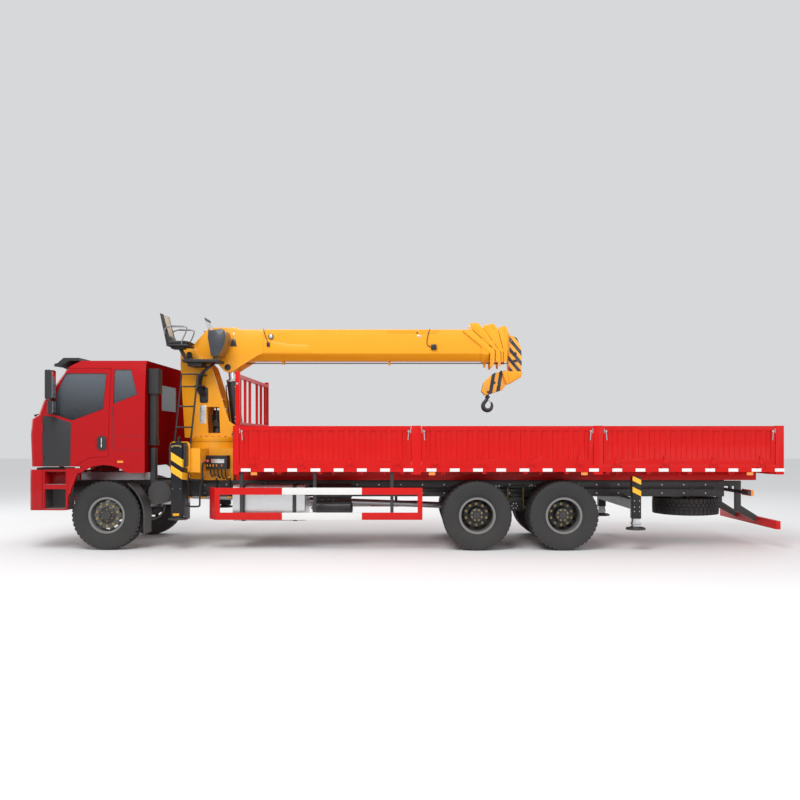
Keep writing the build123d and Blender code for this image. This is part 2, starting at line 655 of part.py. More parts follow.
def rear_guard():
    """Underride bar, its two arms and the lamp bar."""
    end, bend = LENGTH - 20, FRAME_REAR + 180
    arm = side_prism(((FRAME_REAR, 1050), (bend + 100, 1050), (bend + 100, 640), (end, 445), (end, 340),
                      (bend, 560), (bend, 960), (FRAME_REAR, 960)), (380, FRAME_HALF))
    bar = block((LENGTH - 75, LENGTH - 5), (-GUARD_HALF, GUARD_HALF), (325, 455))
    across = (LAMP_BAR_U - 25, LAMP_BAR_U + 25)
    lamp_bar = block(across, (-GUARD_HALF - 30, GUARD_HALF + 30), (870, 920))
    hanger = block(across, (380, FRAME_HALF), (915, 965))
    return both_sides(arm + hanger) + bar + lamp_bar


# Cargo body

GATE_LONG = (LENGTH - GATE_END - GATE_FRONT - 2 * POST_W) / 3
# Gates of one side: name, u from
GATES = (("1", GATE_FRONT), ("2", GATE_FRONT + GATE_LONG + POST_W),
         ("3", GATE_FRONT + 2 * (GATE_LONG + POST_W)))
# Posts of one side: u from, u to
POSTS = ((DECK_FRONT, GATE_FRONT - POST_GAP), (GATES[1][1] - POST_W + POST_GAP, GATES[1][1] - POST_GAP),
         (GATES[2][1] - POST_W + POST_GAP, GATES[2][1] - POST_GAP), (LENGTH - GATE_END + POST_GAP, LENGTH))
HINGE_SHARES = (0.0775, 0.3585, 0.641, 0.92)


def cargo_deck():
    """Floor, side rails, crossbeams, the two long beams and the posts."""
    within = (-HALF_WIDTH + RAIL_T, HALF_WIDTH - RAIL_T)
    deck = block((DECK_FRONT, TAIL_FACE - 55), within, (DECK_TOP - FLOOR_T, DECK_TOP))
    deck += both_sides(block((DECK_FRONT, LENGTH), (HALF_WIDTH - RAIL_T, HALF_WIDTH), RAIL_Z))
    deck += block((TAIL_FACE - 55, TAIL_FACE - 3), within, RAIL_Z)
    deck += both_sides(block((3290, LENGTH - 80), (350, FRAME_HALF), (FRAME_TOP, 1190)))
    count = int((LENGTH - 60 - 3500) // 640)
    for i in range(count + 1):
        u = 3500 + i * 640
        deck += block((u - 35, u + 35), within, (1190, DECK_TOP - FLOOR_T))
    for u0, u1 in POSTS:
        deck += both_sides(block((u0, u1), (HALF_WIDTH - POST_T, HALF_WIDTH), (1187, GATE_TOP + 5)))
    return deck


def gate_panel(length, height):
    """A gate with its length along X and its height along Z, its outside at Y = 0 and inside at -GATE_T."""
    panel = block((0, length), (-GATE_T, 0), (0, height))
    inner = (GATE_BORDER, length - GATE_BORDER)
    z = (GATE_BORDER + 15, height - GATE_BORDER)
    panel -= block(inner, (-GATE_T, -GATE_T / 2 - GATE_SKIN / 2), z)
    panel -= block(inner, (-GATE_T / 2 + GATE_SKIN / 2, 0), z)
    count = int((inner[1] - inner[0]) // RIB_PITCH)
    first = (length - (count - 1) * RIB_PITCH) / 2
    top, base = -4.0, -GATE_T / 2 + GATE_SKIN / 2
    for i in range(count):
        u = first + i * RIB_PITCH
        outline = ((u - RIB_W / 2, base), (u + RIB_W / 2, base), (u + RIB_TIP / 2, top),
                   (u - RIB_TIP / 2, top))
        face = Plane.XY.offset(z[0]) * make_face(Polyline(*outline, close=True))
        panel += extrude(face, amount=z[1] - z[0], dir=(0, 0, 1))
    return panel


def gate_hinges(places):
    """The hinge straps and eyes of a gate that lies as gate_panel() draws it."""
    drop = GATE_AXIS_Z - DECK_TOP - GATE_SEAT
    straps = Part()
    for u in places:
        straps += block((u - 24, u + 24), (-1, 8), (3, 133))
        straps += block((u - 20, u + 20), (3, GATE_AXIS_OUT), (-6, 9))
        straps += rod((u - 20, GATE_AXIS_OUT, drop), (u + 20, GATE_AXIS_OUT, drop), GATE_EYE_R)
    return straps


def tail_hinges(width):
    """The tail gate's small hinge eyes, which stay within the truck's length."""
    drop = GATE_AXIS_Z - DECK_TOP - GATE_SEAT
    eyes = Part()
    for share in (0.1, 0.35, 0.65, 0.9):
        u = share * width
        eyes += block((u - 24, u + 24), (-1, 6), (3, 133))
        eyes += rod((u - 20, 6, drop), (u + 20, 6, drop), 5.5) + block((u - 20, u + 20), (0, 9), (-2, 9))
    return eyes


def headboard():
    """Guard frame behind the crane: posts, solid lower panel, top rail and upright bars."""
    u = (3465.0, 3530.0)
    base = DECK_TOP
    half = HALF_WIDTH - 100
    frame_part = both_sides(block(u, (half, half + 70), (GATE_TOP + 5 + SEAT, HEADBOARD_TOP)))
    frame_part += both_sides(block(u, (half, half + 40), (base, HEADBOARD_TOP)))
    for z in ((2690, 2747), (1945, 2000)):
        frame_part += block(u, (-half - 10, half + 10), z)
    frame_part += block((3480, 3500), (-half - 10, half + 10), (base, 1960))
    for y in (0.252 * half, 0.565 * half, 0.887 * half):
        frame_part += both_sides(block((3475, 3515), (y - 20, y + 20), (1990, 2700)))
    return frame_part


# Crane

def front_leg_middle(side):
    """The u of a front leg: the two beams lie side by side in their housing."""
    if side == "left":
        return 2556.0
    return 2740.0


def crane_base():
    """Base box on the frame, the two beams' housing, the fixed ring, the ladder, step and control box."""
    body = block((2480, 3250), (-FRAME_HALF, FRAME_HALF), (FRAME_TOP, RING_Z[0]))
    housing = block((2450, 2850), (-HOUSING_Y, HOUSING_Y), HOUSING_Z)
    for side in ("left", "right"):
        u = front_leg_middle(side)
        half = BEAM_W / 2 + LEG_CLEAR
        tunnel = block((u - half, u + half), (-HOUSING_Y, HOUSING_Y),
                       (BEAM_Z[0] - LEG_CLEAR, BEAM_Z[1] + LEG_CLEAR))
        housing -= tunnel
        body -= tunnel
    ring = Pos(SLEW_U, 0, (RING_Z[0] + RING_Z[1]) / 2) * Cylinder(RING_R, RING_Z[1] - RING_Z[0])
    y = -700.0
    ladder = Part()
    for top, low in (((2479, 2804), (2352, 1600)), ((2741, 2804), (2614, 1600))):
        ladder += rod((top[0], y, top[1]), (low[0], y, low[1]), 15)
    for z in (2790.0, 2588.0, 2267.0, 1930.0):
        shift = (2804 - z) * 127 / 1204
        ladder += rod((2479 - shift, y, z), (2741 - shift, y, z), 13)
    ladder += block((2330, 2640), (y - 25, y + 25), (HOUSING_Z[1], 1602))
    step = rod((2600, -900, 653), (2600, -900, HOUSING_Z[0] + 2), 13)
    step += rod((2820, -900, 653), (2820, -900, HOUSING_Z[0] + 2), 13)
    step += rod((2588, -900, 653), (2832, -900, 653), 13)
    panel = block((2856, 3200), (-640, -FRAME_HALF), (1250, 1470))
    for i in range(5):
        panel += rod((2890 + i * 62, -560, 1470), (2890 + i * 62, -575, 1545), 9)
    return body + housing + ring + ladder + step + panel


def front_beam(side):
    """A sliding beam with its leg at the outer end, drawn for the right side."""
    u = front_leg_middle(side)
    beam = block((u - BEAM_W / 2, u + BEAM_W / 2), (-BEAM_INNER_END, LEG_Y[0] + 5), BEAM_Z)
    leg = block((u - LEG_W / 2, u + LEG_W / 2), LEG_Y, LEG_Z)
    middle = (LEG_Y[0] + LEG_Y[1]) / 2
    hole = JACK_W / 2 + LEG_CLEAR
    leg -= block((u - hole, u + hole), (middle - hole, middle + hole), (LEG_Z[0], LEG_Z[1] - 40))
    return beam + leg


def jack(u, y, width, foot_z, top_z):
    """An inner leg with its round foot."""
    leg = block((u - width / 2, u + width / 2), (y - width / 2, y + width / 2), (foot_z + 20, top_z))
    foot = Pos(u, y, foot_z + 14) * Cylinder(150, 28)
    return leg + foot


def column():
    """Slewing column: foot ring, side plates, front and rear webs, both pins and the slew motor."""
    outer, inner = COLUMN_HALF, COLUMN_HALF - COLUMN_PLATE
    body = Pos(SLEW_U, 0, (COLUMN_FOOT + COLUMN_FLOOR) / 2) * Cylinder(RING_R, COLUMN_FLOOR - COLUMN_FOOT)
    plate = side_prism(COLUMN_OUTLINE, (inner, outer))
    plate -= side_prism(((2790, 1840), (2990, 1840), (2975, 2278), (2767, 2278)), (inner - 10, outer + 10))
    body += both_sides(plate)
    body += side_prism(((2400, 1764), (2432, 1764), (2360, 2960), (2328, 2960)), (-inner, inner))
    body += side_prism(((2640, 2400), (2960, 2400), (2950, 2430), (2640, 2430)), (-inner, inner))
    body += cross_bar(LUFF_U, LUFF_Z, (-outer - 20, outer + 20), LUFF_PIN_R)
    body += cross_bar(LIFT_LOW_U, LIFT_LOW_Z, (-outer - 10, outer + 10), LIFT_PIN_R)
    body += rod((2890, 0, COLUMN_FLOOR), (2890, 0, 2230), 85)
    return body


HOOP_R = 12.0


def operator_station():
    """Raised seat on a bracket at the column's left, with arm hoops, and the lever console beside it."""
    y = (-800.0, -400.0)
    station = block((2470, 3060), (-660, -COLUMN_HALF), (3002, 3030))
    station += side_prism(((2470, 3002), (2560, 3002), (2480, 3240), (2300, 3240)), (-640, -560))
    station += block((2232, 2600), y, (3240, 3300))
    station += side_prism(((2249, 3290), (2310, 3300), (2165, 3790), (2096, 3796)), (y[0] + 30, y[1] - 30))
    corners = ((2240, 3280), (2240, 3475), (2644, 3475), (2600, 3285), (2240, 3285))
    for side in (y[0] - HOOP_R + 3, y[1] + HOOP_R - 3):
        hoop = Part()
        for (u0, z0), (u1, z1) in zip(corners, corners[1:]):
            hoop += rod((u0, side, z0), (u1, side, z1), HOOP_R)
        station += hoop
    console = side_prism(((2871, 3507), (3095, 3546), (3056, 3102), (2925, 3102)), (-650, -280))
    station += console + block((2940, 3040), (-560, -400), (3028, 3104))
    for i in range(4):
        station += rod((2900, -610 + i * 95, 3500), (2830, -610 + i * 95, 3717), 9)
    return station


def boom_face(inset):
    """The boom's six-sided section in y and z, inset from the base section's outside."""
    half, top = BOOM_HALF - inset, BOOM_TOP - inset
    knee, low = BOOM_KNEE + inset * 0.5, BOOM_LOW + inset
    low_half = BOOM_LOW_HALF - inset * 0.5
    return ((-half, knee), (-half, top), (half, top), (half, knee), (low_half, low), (-low_half, low))


def boom_tube(u, outside, inside):
    """A length of boom section, from the insets of its outside and inside."""
    return front_prism(boom_face(outside), u) - front_prism(boom_face(inside), (u[0] - 1, u[1] + 1))


def boom_base():
    """The boom's base section with its root plates, lift lugs, mouth collar and rope guides."""
    body = boom_tube((BOOM_ROOT, BOOM_MOUTH), 0, BOOM_WALL)
    root = side_prism(ROOT_OUTLINE, (BOOM_HALF, BOOM_HALF + 14))
    body += both_sides(root)
    body += block((2440, BOOM_ROOT + 10), (-BOOM_HALF, BOOM_HALF), (3560, BOOM_TOP))
    body += block((2410, 2440), (-BOOM_HALF, BOOM_HALF), (3250, 3590))
    boss = cross_bar(LUFF_U, LUFF_Z, (-BOOM_HALF - 14, BOOM_HALF + 14), 82)
    body += boss
    body -= cross_bar(LUFF_U, LUFF_Z, (-BOOM_HALF - 20, BOOM_HALF + 20), LUFF_PIN_R + PIN_CLEAR)
    lug = side_prism(((2960, 3063), (3270, 3063), (3190, 2885), (3108, 2862), (3030, 2885)), (66, 90))
    body += both_sides(lug)
    body += boom_tube((7380, BOOM_MOUTH), -26, BOOM_WALL)
    body += side_prism(((7192, 3580), (7192, 3693), (7308, 3700), (7380, 3609), (7380, 3580)), (-60, 60))
    for u, low in ((4010.0, 3012.0), (5820.0, 3000.0), (7440.0, 2960.0)):
        body += both_sides(block((u - 20, u + 20), (30, 42), (low, BOOM_LOW + 2)))
        body += block((u - 20, u + 20), (-42, 42), (low, low + 12))
    return body


# Inner sections: number, u of the mouth, how far the mouth collar stands out
SECTIONS = ((2, 7600.0, 8.0), (3, 7690.0, 20.0), (4, 7780.0, 32.0), (5, 7850.0, 44.0))
SECTION_REAR = 3420.0
COLLAR_L = 85.0
GROOVE = 14.0


def section_inset(number):
    """How far a section's outside lies inside the base section's outside."""
    return BOOM_WALL + SECTION_GAP + (number - 2) * SECTION_STEP


def boom_section(number, mouth, proud):
    """One sliding section with its wear pads at the rear and a collar at its mouth."""
    outside = section_inset(number)
    rear = SECTION_REAR + number * 30
    body = boom_tube((rear, mouth), outside, outside + SECTION_WALL)
    reach = SECTION_GAP - PAD_CLEAR
    top, low = BOOM_TOP - outside, BOOM_LOW + outside
    body += block((rear, rear + 160), (-60, 60), (top - 1, top + reach))
    body += block((rear, rear + 160), (-50, 50), (low - reach, low + 1))
    if number < 5:
        body += boom_tube((mouth - COLLAR_L, mouth), outside - proud, outside + SECTION_WALL)
    return body


def sheave(u, z, radius, half):
    """A rope sheave with a vee groove, as wide as twice half."""
    outline = ((0, -half), (radius, -half), (radius, -GROOVE), (radius - GROOVE, 0), (radius, GROOVE),
               (radius, half), (0, half))
    return turned(outline, (u, 0, z))


def boom_tip():
    """The last section: its tube, side plates, sheaves and the flange that the hook block rests on."""
    body = boom_section(*SECTIONS[3])
    plates = side_prism(TIP_OUTLINE, (112, 130))
    body += both_sides(plates)
    body += block((7835, 7851), (-130, 130), (2960, 3480))
    body += side_prism(((7729.3, 2880.1), (7749, 2888), (7832, 2677), (7812.3, 2669.1)), (-112, 112))
    for u, z, r in ((7950.0, 3180.0, 92.0), (7960.0, 2850.0, 82.0)):
        body += sheave(u, z, r, 40) + cross_bar(u, z, (-130, 130), 25)
    return body


HOOK_U = 7493.0
HOOK_Z = 2304.0
HOOK_RING = 78.0
HOOK_THICK = 32.0
SHANK_R = 26.0
LATCH_R = 5.0


def hook_block():
    """Hook block: two cheeks joined by its sheave and the hook's cross piece."""
    body = both_sides(side_prism(BLOCK_OUTLINE, (48, 66)) + side_prism(HOOK_EAR, (48, 66)))
    body += both_sides(cross_bar(*HOOK_PIVOT, (46, 68), 11))
    body += sheave(7600, 2700, 100, 48)
    body += block((7450, 7545), (-50, 50), (2506, 2570))
    body -= rod((HOOK_U, 0, 2500), (HOOK_U, 0, 2575), SHANK_R + PIN_CLEAR)
    return body


def hook():
    """The swivelling hook: shank, bowl and tip."""
    ring = Pos(HOOK_U, 0, HOOK_Z) * Rot(90, 0, 0) * Torus(HOOK_RING, HOOK_THICK)
    ring -= side_prism(((HOOK_U + 5, HOOK_Z), (HOOK_U + 200, HOOK_Z + 60), (HOOK_U + 200, HOOK_Z + 200),
                        (HOOK_U + 5, HOOK_Z + 200)), (-60, 60))
    ring += rod((HOOK_U + 15, 0, HOOK_Z + 110), (HOOK_U + HOOK_RING, 0, HOOK_Z + 18), LATCH_R)
    shank = rod((HOOK_U, 0, HOOK_Z + HOOK_RING - 20), (HOOK_U, 0, 2585), SHANK_R)
    collar = rod((HOOK_U, 0, 2440), (HOOK_U, 0, 2470), 44)
    nut = rod((HOOK_U, 0, 2572), (HOOK_U, 0, 2590), 40)
    return ring + shank + collar + nut


def lift_cylinder():
    """The boom's lift cylinder as drawn upright at its lower pin: barrel and rod, then leaned to the eye."""
    length = hypot(LIFT_EYE_U - LIFT_LOW_U, LIFT_EYE_Z - LIFT_LOW_Z)
    lean = degrees(atan2(LIFT_EYE_U - LIFT_LOW_U, LIFT_EYE_Z - LIFT_LOW_Z))
    place = Pos(LIFT_LOW_U, 0, LIFT_LOW_Z) * Rot(0, lean, 0)
    gland = length - 190
    barrel = rod((0, 0, 60), (0, 0, gland), BARREL_R) - rod((0, 0, 84), (0, 0, gland - 28), BARREL_BORE)
    barrel -= rod((0, 0, gland - 40), (0, 0, gland + 10), ROD_R + SEAT)
    eye = cross_bar(0, 0, (-70, 70), 75)
    barrel = barrel + eye + rod((0, 0, 40), (0, 0, 70), 60)
    barrel -= cross_bar(0, 0, (-80, 80), LIFT_PIN_R + PIN_CLEAR)
    shaft = rod((0, 0, 88), (0, 0, length - 40), ROD_R) + rod((0, 0, 88), (0, 0, 112), BARREL_BORE - SEAT)
    shaft += cross_bar(0, length, (-58, 58), 62)
    return place * barrel, place * shaft


def build():
    """Make every piece and write it."""
    os.makedirs("parts", exist_ok=True)
    save("frame", frame())
    save("running_gear", running_gear())
    save("engine", engine())
    save("tanks", tanks())
    save("underrun_guards", side_guards() + rear_guard())
    save("bumper", bumper())
    save("lamps", lamps())
    save("mudguards", mudguards())
    save("air_cleaner", air_cleaner())
    save("spare_wheel", spare_wheel())

    skin = cab_skin()
    save("cab_shell", cab_shell(skin))
    sheet = glazing(GLASS_T)
    save("cab_glass", cab_glass(sheet))
    save("grille", grille())
    save("cab_interior", cab_interior())
    save("cab_trim", cab_trim())
    right_door = door(cab_form(0) - cab_form(CAB_WALL))
    door_glass = sheet & window_cut(DOOR_WINDOW, SEAT, SIDE_BAND)
    right_knuckle = knuckle()
    tyre_piece, rim_piece = front_wheel()
    rear_wheels = {axle: rear_wheel(axle) for axle in ("rear1", "rear2")}
    for side, turn in (("right", lambda piece: piece), ("left", other_side)):
        save(f"door_{side}", turn(right_door))
        save(f"door_glass_{side}", turn(door_glass))
        save(f"knuckle_{side}", turn(right_knuckle))
        save(f"tyre_front_{side}", turn(tyre_piece))
        save(f"rim_front_{side}", turn(rim_piece))
        for axle, (twin, rims) in rear_wheels.items():
            save(f"tyres_{axle}_{side}", turn(twin[0] + twin[1]))
            save(f"rims_{axle}_{side}", turn(rims))

    save("cargo_deck", cargo_deck())
    save("headboard", headboard())
    height = GATE_TOP - DECK_TOP - GATE_SEAT
    for name, u0 in GATES:
        panel = gate_panel(GATE_LONG, height) + gate_hinges([share * GATE_LONG for share in HINGE_SHARES])
        panel = Pos(u0, HALF_WIDTH, DECK_TOP + GATE_SEAT) * panel
        save(f"gate_right_{name}", panel)
        save(f"gate_left_{name}", other_side(panel))
    width = 2 * (HALF_WIDTH - RAIL_T - GATE_SIDE_GAP)
    tail = Rot(0, 0, -90) * Pos(-width / 2, 0, 0) * (gate_panel(width, height) + tail_hinges(width))
    save("gate_tail", Pos(TAIL_FACE, 0, DECK_TOP + GATE_SEAT) * tail)

    save("crane_base", crane_base())
    for side, turn in (("right", lambda piece: piece), ("left", other_side)):
        save(f"front_beam_{side}", turn(front_beam(side)))
        leg_y = (LEG_Y[0] + LEG_Y[1]) / 2
        save(f"front_jack_{side}", turn(jack(front_leg_middle(side), leg_y, JACK_W, FRONT_FOOT_Z, 1620)))
        leg_y = (REAR_LEG_Y[0] + REAR_LEG_Y[1]) / 2
        save(f"rear_jack_{side}", turn(jack(REAR_LEG_U, leg_y, REAR_JACK_W, REAR_FOOT_Z, 1120)))
    save("column", column())
    save("operator_station", operator_station())
    save("boom_base", boom_base())
    for row in SECTIONS[:3]:
        save(f"boom_section_{row[0]}", boom_section(*row))
    save("boom_section_5", boom_tip())
    save("hook_block", hook_block())
    save("hook", hook())
    barrel, shaft = lift_cylinder()
    save("lift_barrel", barrel)
    save("lift_rod", shaft)


build()
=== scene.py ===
"""Looks of the truck-mounted crane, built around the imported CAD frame.

Metres, Z up, X towards the tail and Y towards the truck's right side. A u value is the distance behind the
front bumper, as in the part's source, and at() turns it into a place.
"""
import json
import logging
import math
from collections.abc import Callable
from dataclasses import dataclass, replace
from enum import Enum

import bmesh
import bpy
from mathutils import Matrix, Vector

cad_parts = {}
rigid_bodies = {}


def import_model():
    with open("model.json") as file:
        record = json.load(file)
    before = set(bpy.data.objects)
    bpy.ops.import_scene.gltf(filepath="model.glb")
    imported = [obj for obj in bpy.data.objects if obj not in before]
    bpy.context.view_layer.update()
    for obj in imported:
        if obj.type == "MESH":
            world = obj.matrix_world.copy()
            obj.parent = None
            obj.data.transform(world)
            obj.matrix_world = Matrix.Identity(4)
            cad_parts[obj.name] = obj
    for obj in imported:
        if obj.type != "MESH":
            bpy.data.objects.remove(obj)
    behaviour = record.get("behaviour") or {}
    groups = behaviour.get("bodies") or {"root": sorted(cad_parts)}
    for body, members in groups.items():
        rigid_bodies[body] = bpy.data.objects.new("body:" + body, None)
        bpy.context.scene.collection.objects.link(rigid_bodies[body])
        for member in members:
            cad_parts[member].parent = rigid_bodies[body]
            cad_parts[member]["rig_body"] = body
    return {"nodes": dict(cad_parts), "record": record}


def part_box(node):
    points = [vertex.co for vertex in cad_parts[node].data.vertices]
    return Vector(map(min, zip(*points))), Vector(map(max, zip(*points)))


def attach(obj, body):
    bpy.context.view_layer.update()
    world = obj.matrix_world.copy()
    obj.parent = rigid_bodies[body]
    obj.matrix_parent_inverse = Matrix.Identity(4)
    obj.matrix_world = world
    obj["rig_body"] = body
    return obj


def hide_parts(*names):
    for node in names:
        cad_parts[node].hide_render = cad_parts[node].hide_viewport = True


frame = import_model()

LOG = logging.getLogger("crane_truck")
HALF = 5.99
UP = Vector((0, 0, 1))
OUT = Vector((0, 1, 0))
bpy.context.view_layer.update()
SMOOTH_LIMIT = math.radians(32)


def at(u: float, y: float, z: float) -> Vector:
    """Place of a point given by its distance behind the front bumper, its y and its z."""
    return Vector((u - HALF, y, z))


class Side(Enum):
    """Left and right of the truck, with the sign of Y."""

    LEFT = ("left", -1)
    RIGHT = ("right", 1)

    @property
    def word(self) -> str:
        """The side's name as node names use it."""
        return self.value[0]

    @property
    def sign(self) -> int:
        """The sign of Y on this side."""
        return self.value[1]


class Axis(Enum):
    """Turning axes of lathed shapes, as the turn that brings Y onto them."""

    ALONG_Y = Matrix.Identity(4)
    ALONG_Z = Matrix.Rotation(math.radians(90), 4, "X")
    ALONG_X = Matrix.Rotation(math.radians(-90), 4, "Z")


# Shaders


class Term:
    """A shader socket that takes part in Python arithmetic."""

    def __init__(self, graph: "Graph", socket: bpy.types.NodeSocket) -> None:
        """Wrap a socket of a graph."""
        self.graph = graph
        self.socket = socket

    def _with(self, operation: str, *values: object) -> "Term":
        """A Math node with the given operation on the given values or terms."""
        node = self.graph.add("ShaderNodeMath", {"operation": operation}, dict(enumerate(values)))
        return Term(self.graph, node.outputs[0])

    def __add__(self, other: object) -> "Term":
        """Sum."""
        return self._with("ADD", self, other)

    def __radd__(self, other: object) -> "Term":
        """Sum with a number first."""
        return self._with("ADD", other, self)

    def __sub__(self, other: object) -> "Term":
        """Difference."""
        return self._with("SUBTRACT", self, other)

    def __rsub__(self, other: object) -> "Term":
        """Difference with a number first."""
        return self._with("SUBTRACT", other, self)

    def __mul__(self, other: object) -> "Term":
        """Product."""
        return self._with("MULTIPLY", self, other)

    def __truediv__(self, other: object) -> "Term":
        """Quotient."""
        return self._with("DIVIDE", self, other)

    def over(self, level: float) -> "Term":
        """One where the term is greater than level, else zero."""
        return self._with("GREATER_THAN", self, level)

    def under(self, level: float) -> "Term":
        """One where the term is less than level, else zero."""
        return self._with("LESS_THAN", self, level)

    def wrap(self) -> "Term":
        """The term's fraction, from 0 to 1."""
        return self._with("FRACT", self)

    def size(self) -> "Term":
        """The term without its sign."""
        return self._with("ABSOLUTE", self)

    def clamp(self) -> "Term":
        """The term held between 0 and 1."""
        return self._with("MINIMUM", self._with("MAXIMUM", self, 0.0), 1.0)

    def between(self, low: float, high: float) -> "Term":
        """One where the term lies between two levels, else zero."""
        return self.over(low) * self.under(high)


class Graph:
    """One material's node tree."""

    def __init__(self, name: str) -> None:
        """Start an empty material.

        Args:
            name: the material's name.
        """
        self.material = bpy.data.materials.new(name)
        self.material.use_nodes = True
        self.tree = self.material.node_tree
        self.tree.nodes.clear()
        coordinates = self.add("ShaderNodeTexCoord", {}, {})
        self.place = coordinates.outputs["Object"]
        split = self.add("ShaderNodeSeparateXYZ", {}, {0: self.place})
        self.x, self.y, self.z = (Term(self, out) for out in split.outputs)

    def add(self, kind: str, settings: dict, values: dict) -> bpy.types.Node:
        """Add a node.

        Args:
            kind: the node's type.
            settings: attributes to set first.
            values: socket name or number to a value, a socket or a term.

        Returns:
            The new node.
        """
        node = self.tree.nodes.new(kind)
        for key, value in settings.items():
            setattr(node, key, value)
        for key, value in values.items():
            socket = node.inputs[key]
            source = value.socket if isinstance(value, Term) else value
            if isinstance(source, bpy.types.NodeSocket):
                self.tree.links.new(source, socket)
            elif isinstance(source, tuple) and len(source) == 3 and socket.type == "RGBA":
                socket.default_value = (*source, 1.0)
            else:
                socket.default_value = source
        return node

    def noise(self, scale: float, detail: float = 3.0, stretch: tuple = (1.0, 1.0, 1.0)) -> Term:
        """Noise from 0 to 1 over the object's own coordinates, stretched along the axes.

        Args:
            scale: how fine the noise is.
            detail: how many finer layers it has.
            stretch: scale along each axis.

        Returns:
            the noise.
        """
        place = self.add("ShaderNodeMapping", {}, {"Vector": self.place, "Scale": stretch}).outputs[0]
        node = self.add("ShaderNodeTexNoise", {}, {"Vector": place, "Scale": scale, "Detail": detail})
        return Term(self, node.outputs[0])

    def blend(self, mask: Term, low: object, high: object) -> bpy.types.NodeSocket:
        """A colour that is low where the mask is 0 and high where it is 1."""
        node = self.add("ShaderNodeMix", {"data_type": "RGBA"}, {0: mask, 6: low, 7: high})
        return node.outputs[2]

    def bump(self, height: Term, distance: float) -> bpy.types.NodeSocket:
        """A normal raised by a height."""
        return self.add("ShaderNodeBump", {}, {"Height": height, "Distance": distance, "Strength": 1.0}).outputs[0]

    def close(self, values: dict) -> bpy.types.Material:
        """Add the shader and the output, and return the material.

        Args:
            values: the shader's sockets and their values or links.

        Returns:
            the finished material.
        """
        shader = self.add("ShaderNodeBsdfPrincipled", {}, values)
        self.add("ShaderNodeOutputMaterial", {}, {"Surface": shader.outputs[0]})
        return self.material


DUST = (0.3, 0.27, 0.23)
DUST_TOP = 1.25


@dataclass(frozen=True)
class Finish:
    """A surface finish: clouded colour, road dust low down and a fine bump."""

    name: str
    colour: tuple
    roughness: float = 0.4
    metallic: float = 0.0
    coat: float = 0.0
    vary: float = 0.12
    cloud: float = 2.5
    grain: float = 240.0
    depth: float = 0.0004
    dust: float = 0.25
    stretch: tuple = (1.0, 1.0, 1.0)
    shine: float = 0.5
    other: tuple = (1.0, 1.0, 1.0)

    def pattern(self, graph: Graph) -> Term | None:
        """Where the other colour lies; none by default."""
        return None

    def height(self, graph: Graph) -> Term:
        """The height that the bump follows."""
        return graph.noise(self.grain, 2.0, self.stretch)

    def shade(self, graph: Graph) -> dict:
        """The shader's values for this finish.

        Args:
            graph: the material's node tree.

        Returns:
            the shader's sockets and their values or links.
        """
        cloud = graph.noise(self.cloud, 4.0, self.stretch)
        mask = self.pattern(graph)
        base: object = self.colour
        if mask is not None:
            base = graph.blend(mask, self.colour, self.other)
        darker = graph.add("ShaderNodeHueSaturation", {}, {
            "Value": 1.0 - self.vary + cloud * (2.0 * self.vary), "Color": base}).outputs[0]
        film = ((DUST_TOP - graph.z) / DUST_TOP).clamp() * self.dust * (0.4 + graph.noise(6.0, 5.0) * 1.2)
        colour = graph.blend(film, darker, DUST)
        rough = self.roughness + (cloud - 0.5) * 0.16 + film * 0.5
        return {"Base Color": colour, "Roughness": rough.clamp(), "Metallic": self.metallic,
                "Coat Weight": self.coat, "Coat Roughness": 0.06, "Specular IOR Level": self.shine,
                "Normal": graph.bump(self.height(graph), self.depth)}

    def material(self) -> bpy.types.Material:
        """The finish as a material, made once.

        Returns:
            the material.
        """
        made = bpy.data.materials.get(self.name)
        if made is None:
            graph = Graph(self.name)
            made = graph.close(self.shade(graph))
        return made


@dataclass(frozen=True)
class Striped(Finish):
    """Diagonal stripes of a second colour."""

    other: tuple = (0.012, 0.016, 0.032)
    across: float = 1.2
    up: float = 1.0
    pitch: float = 0.17
    phase: float = 0.59
    lowest: float = 0.0
    ends: tuple = (-1000.0, 1000.0)

    def pattern(self, graph: Graph) -> Term:
        """Stripes that lean across X and Z, above a lowest height."""
        level = (graph.x * self.across + graph.z * self.up) / self.pitch + self.phase
        return level.wrap().over(0.5) * graph.z.over(self.lowest) * level.between(*self.ends)


@dataclass(frozen=True)
class Banded(Finish):
    """Slanting bands at given heights."""

    other: tuple = (0.93, 0.47, 0.03)
    lean: float = 0.35
    middle: float = 0.0
    bands: tuple = ((0.7, 0.8),)

    def pattern(self, graph: Graph) -> Term:
        """The bands, slanting along X.

        Args:
            graph: the material's node tree.

        Returns:
            one inside a band, else zero.
        """
        level = graph.z + (graph.x - self.middle) * self.lean
        mask = level.between(*self.bands[0])
        for low, high in self.bands[1:]:
            mask = mask + level.between(low, high)
        return mask


@dataclass(frozen=True)
class Guarded(Finish):
    """Underrun guard paint: red, with a white stretch in each side rail."""

    other: tuple = (0.78, 0.78, 0.76)
    white: tuple = (4.197 - HALF, 5.435 - HALF)

    def pattern(self, graph: Graph) -> Term:
        """White between two places along the side."""
        return graph.x.between(*self.white) * graph.y.size().over(1.2)


@dataclass(frozen=True)
class Glazing(Finish):
    """Tinted glass."""

    alpha: float = 0.6

    def shade(self, graph: Graph) -> dict:
        """Dark, smooth and partly see-through, with a painted sky reflection that lightens it towards the top.

        Args:
            graph: the material's node tree.

        Returns:
            the shader's sockets and their values or links.
        """
        # Painted reflection: the glass lightens towards the top as if reflecting the sky.
        sky_reflection = ((graph.z - 2.05) / 0.75).clamp()
        colour = graph.blend(sky_reflection, self.colour, tuple(7.0 * c for c in self.colour))
        return {"Base Color": colour, "Roughness": self.roughness, "Alpha": self.alpha, "Coat Weight": 0.2,
                "Coat Roughness": 0.02, "Specular IOR Level": 0.4}


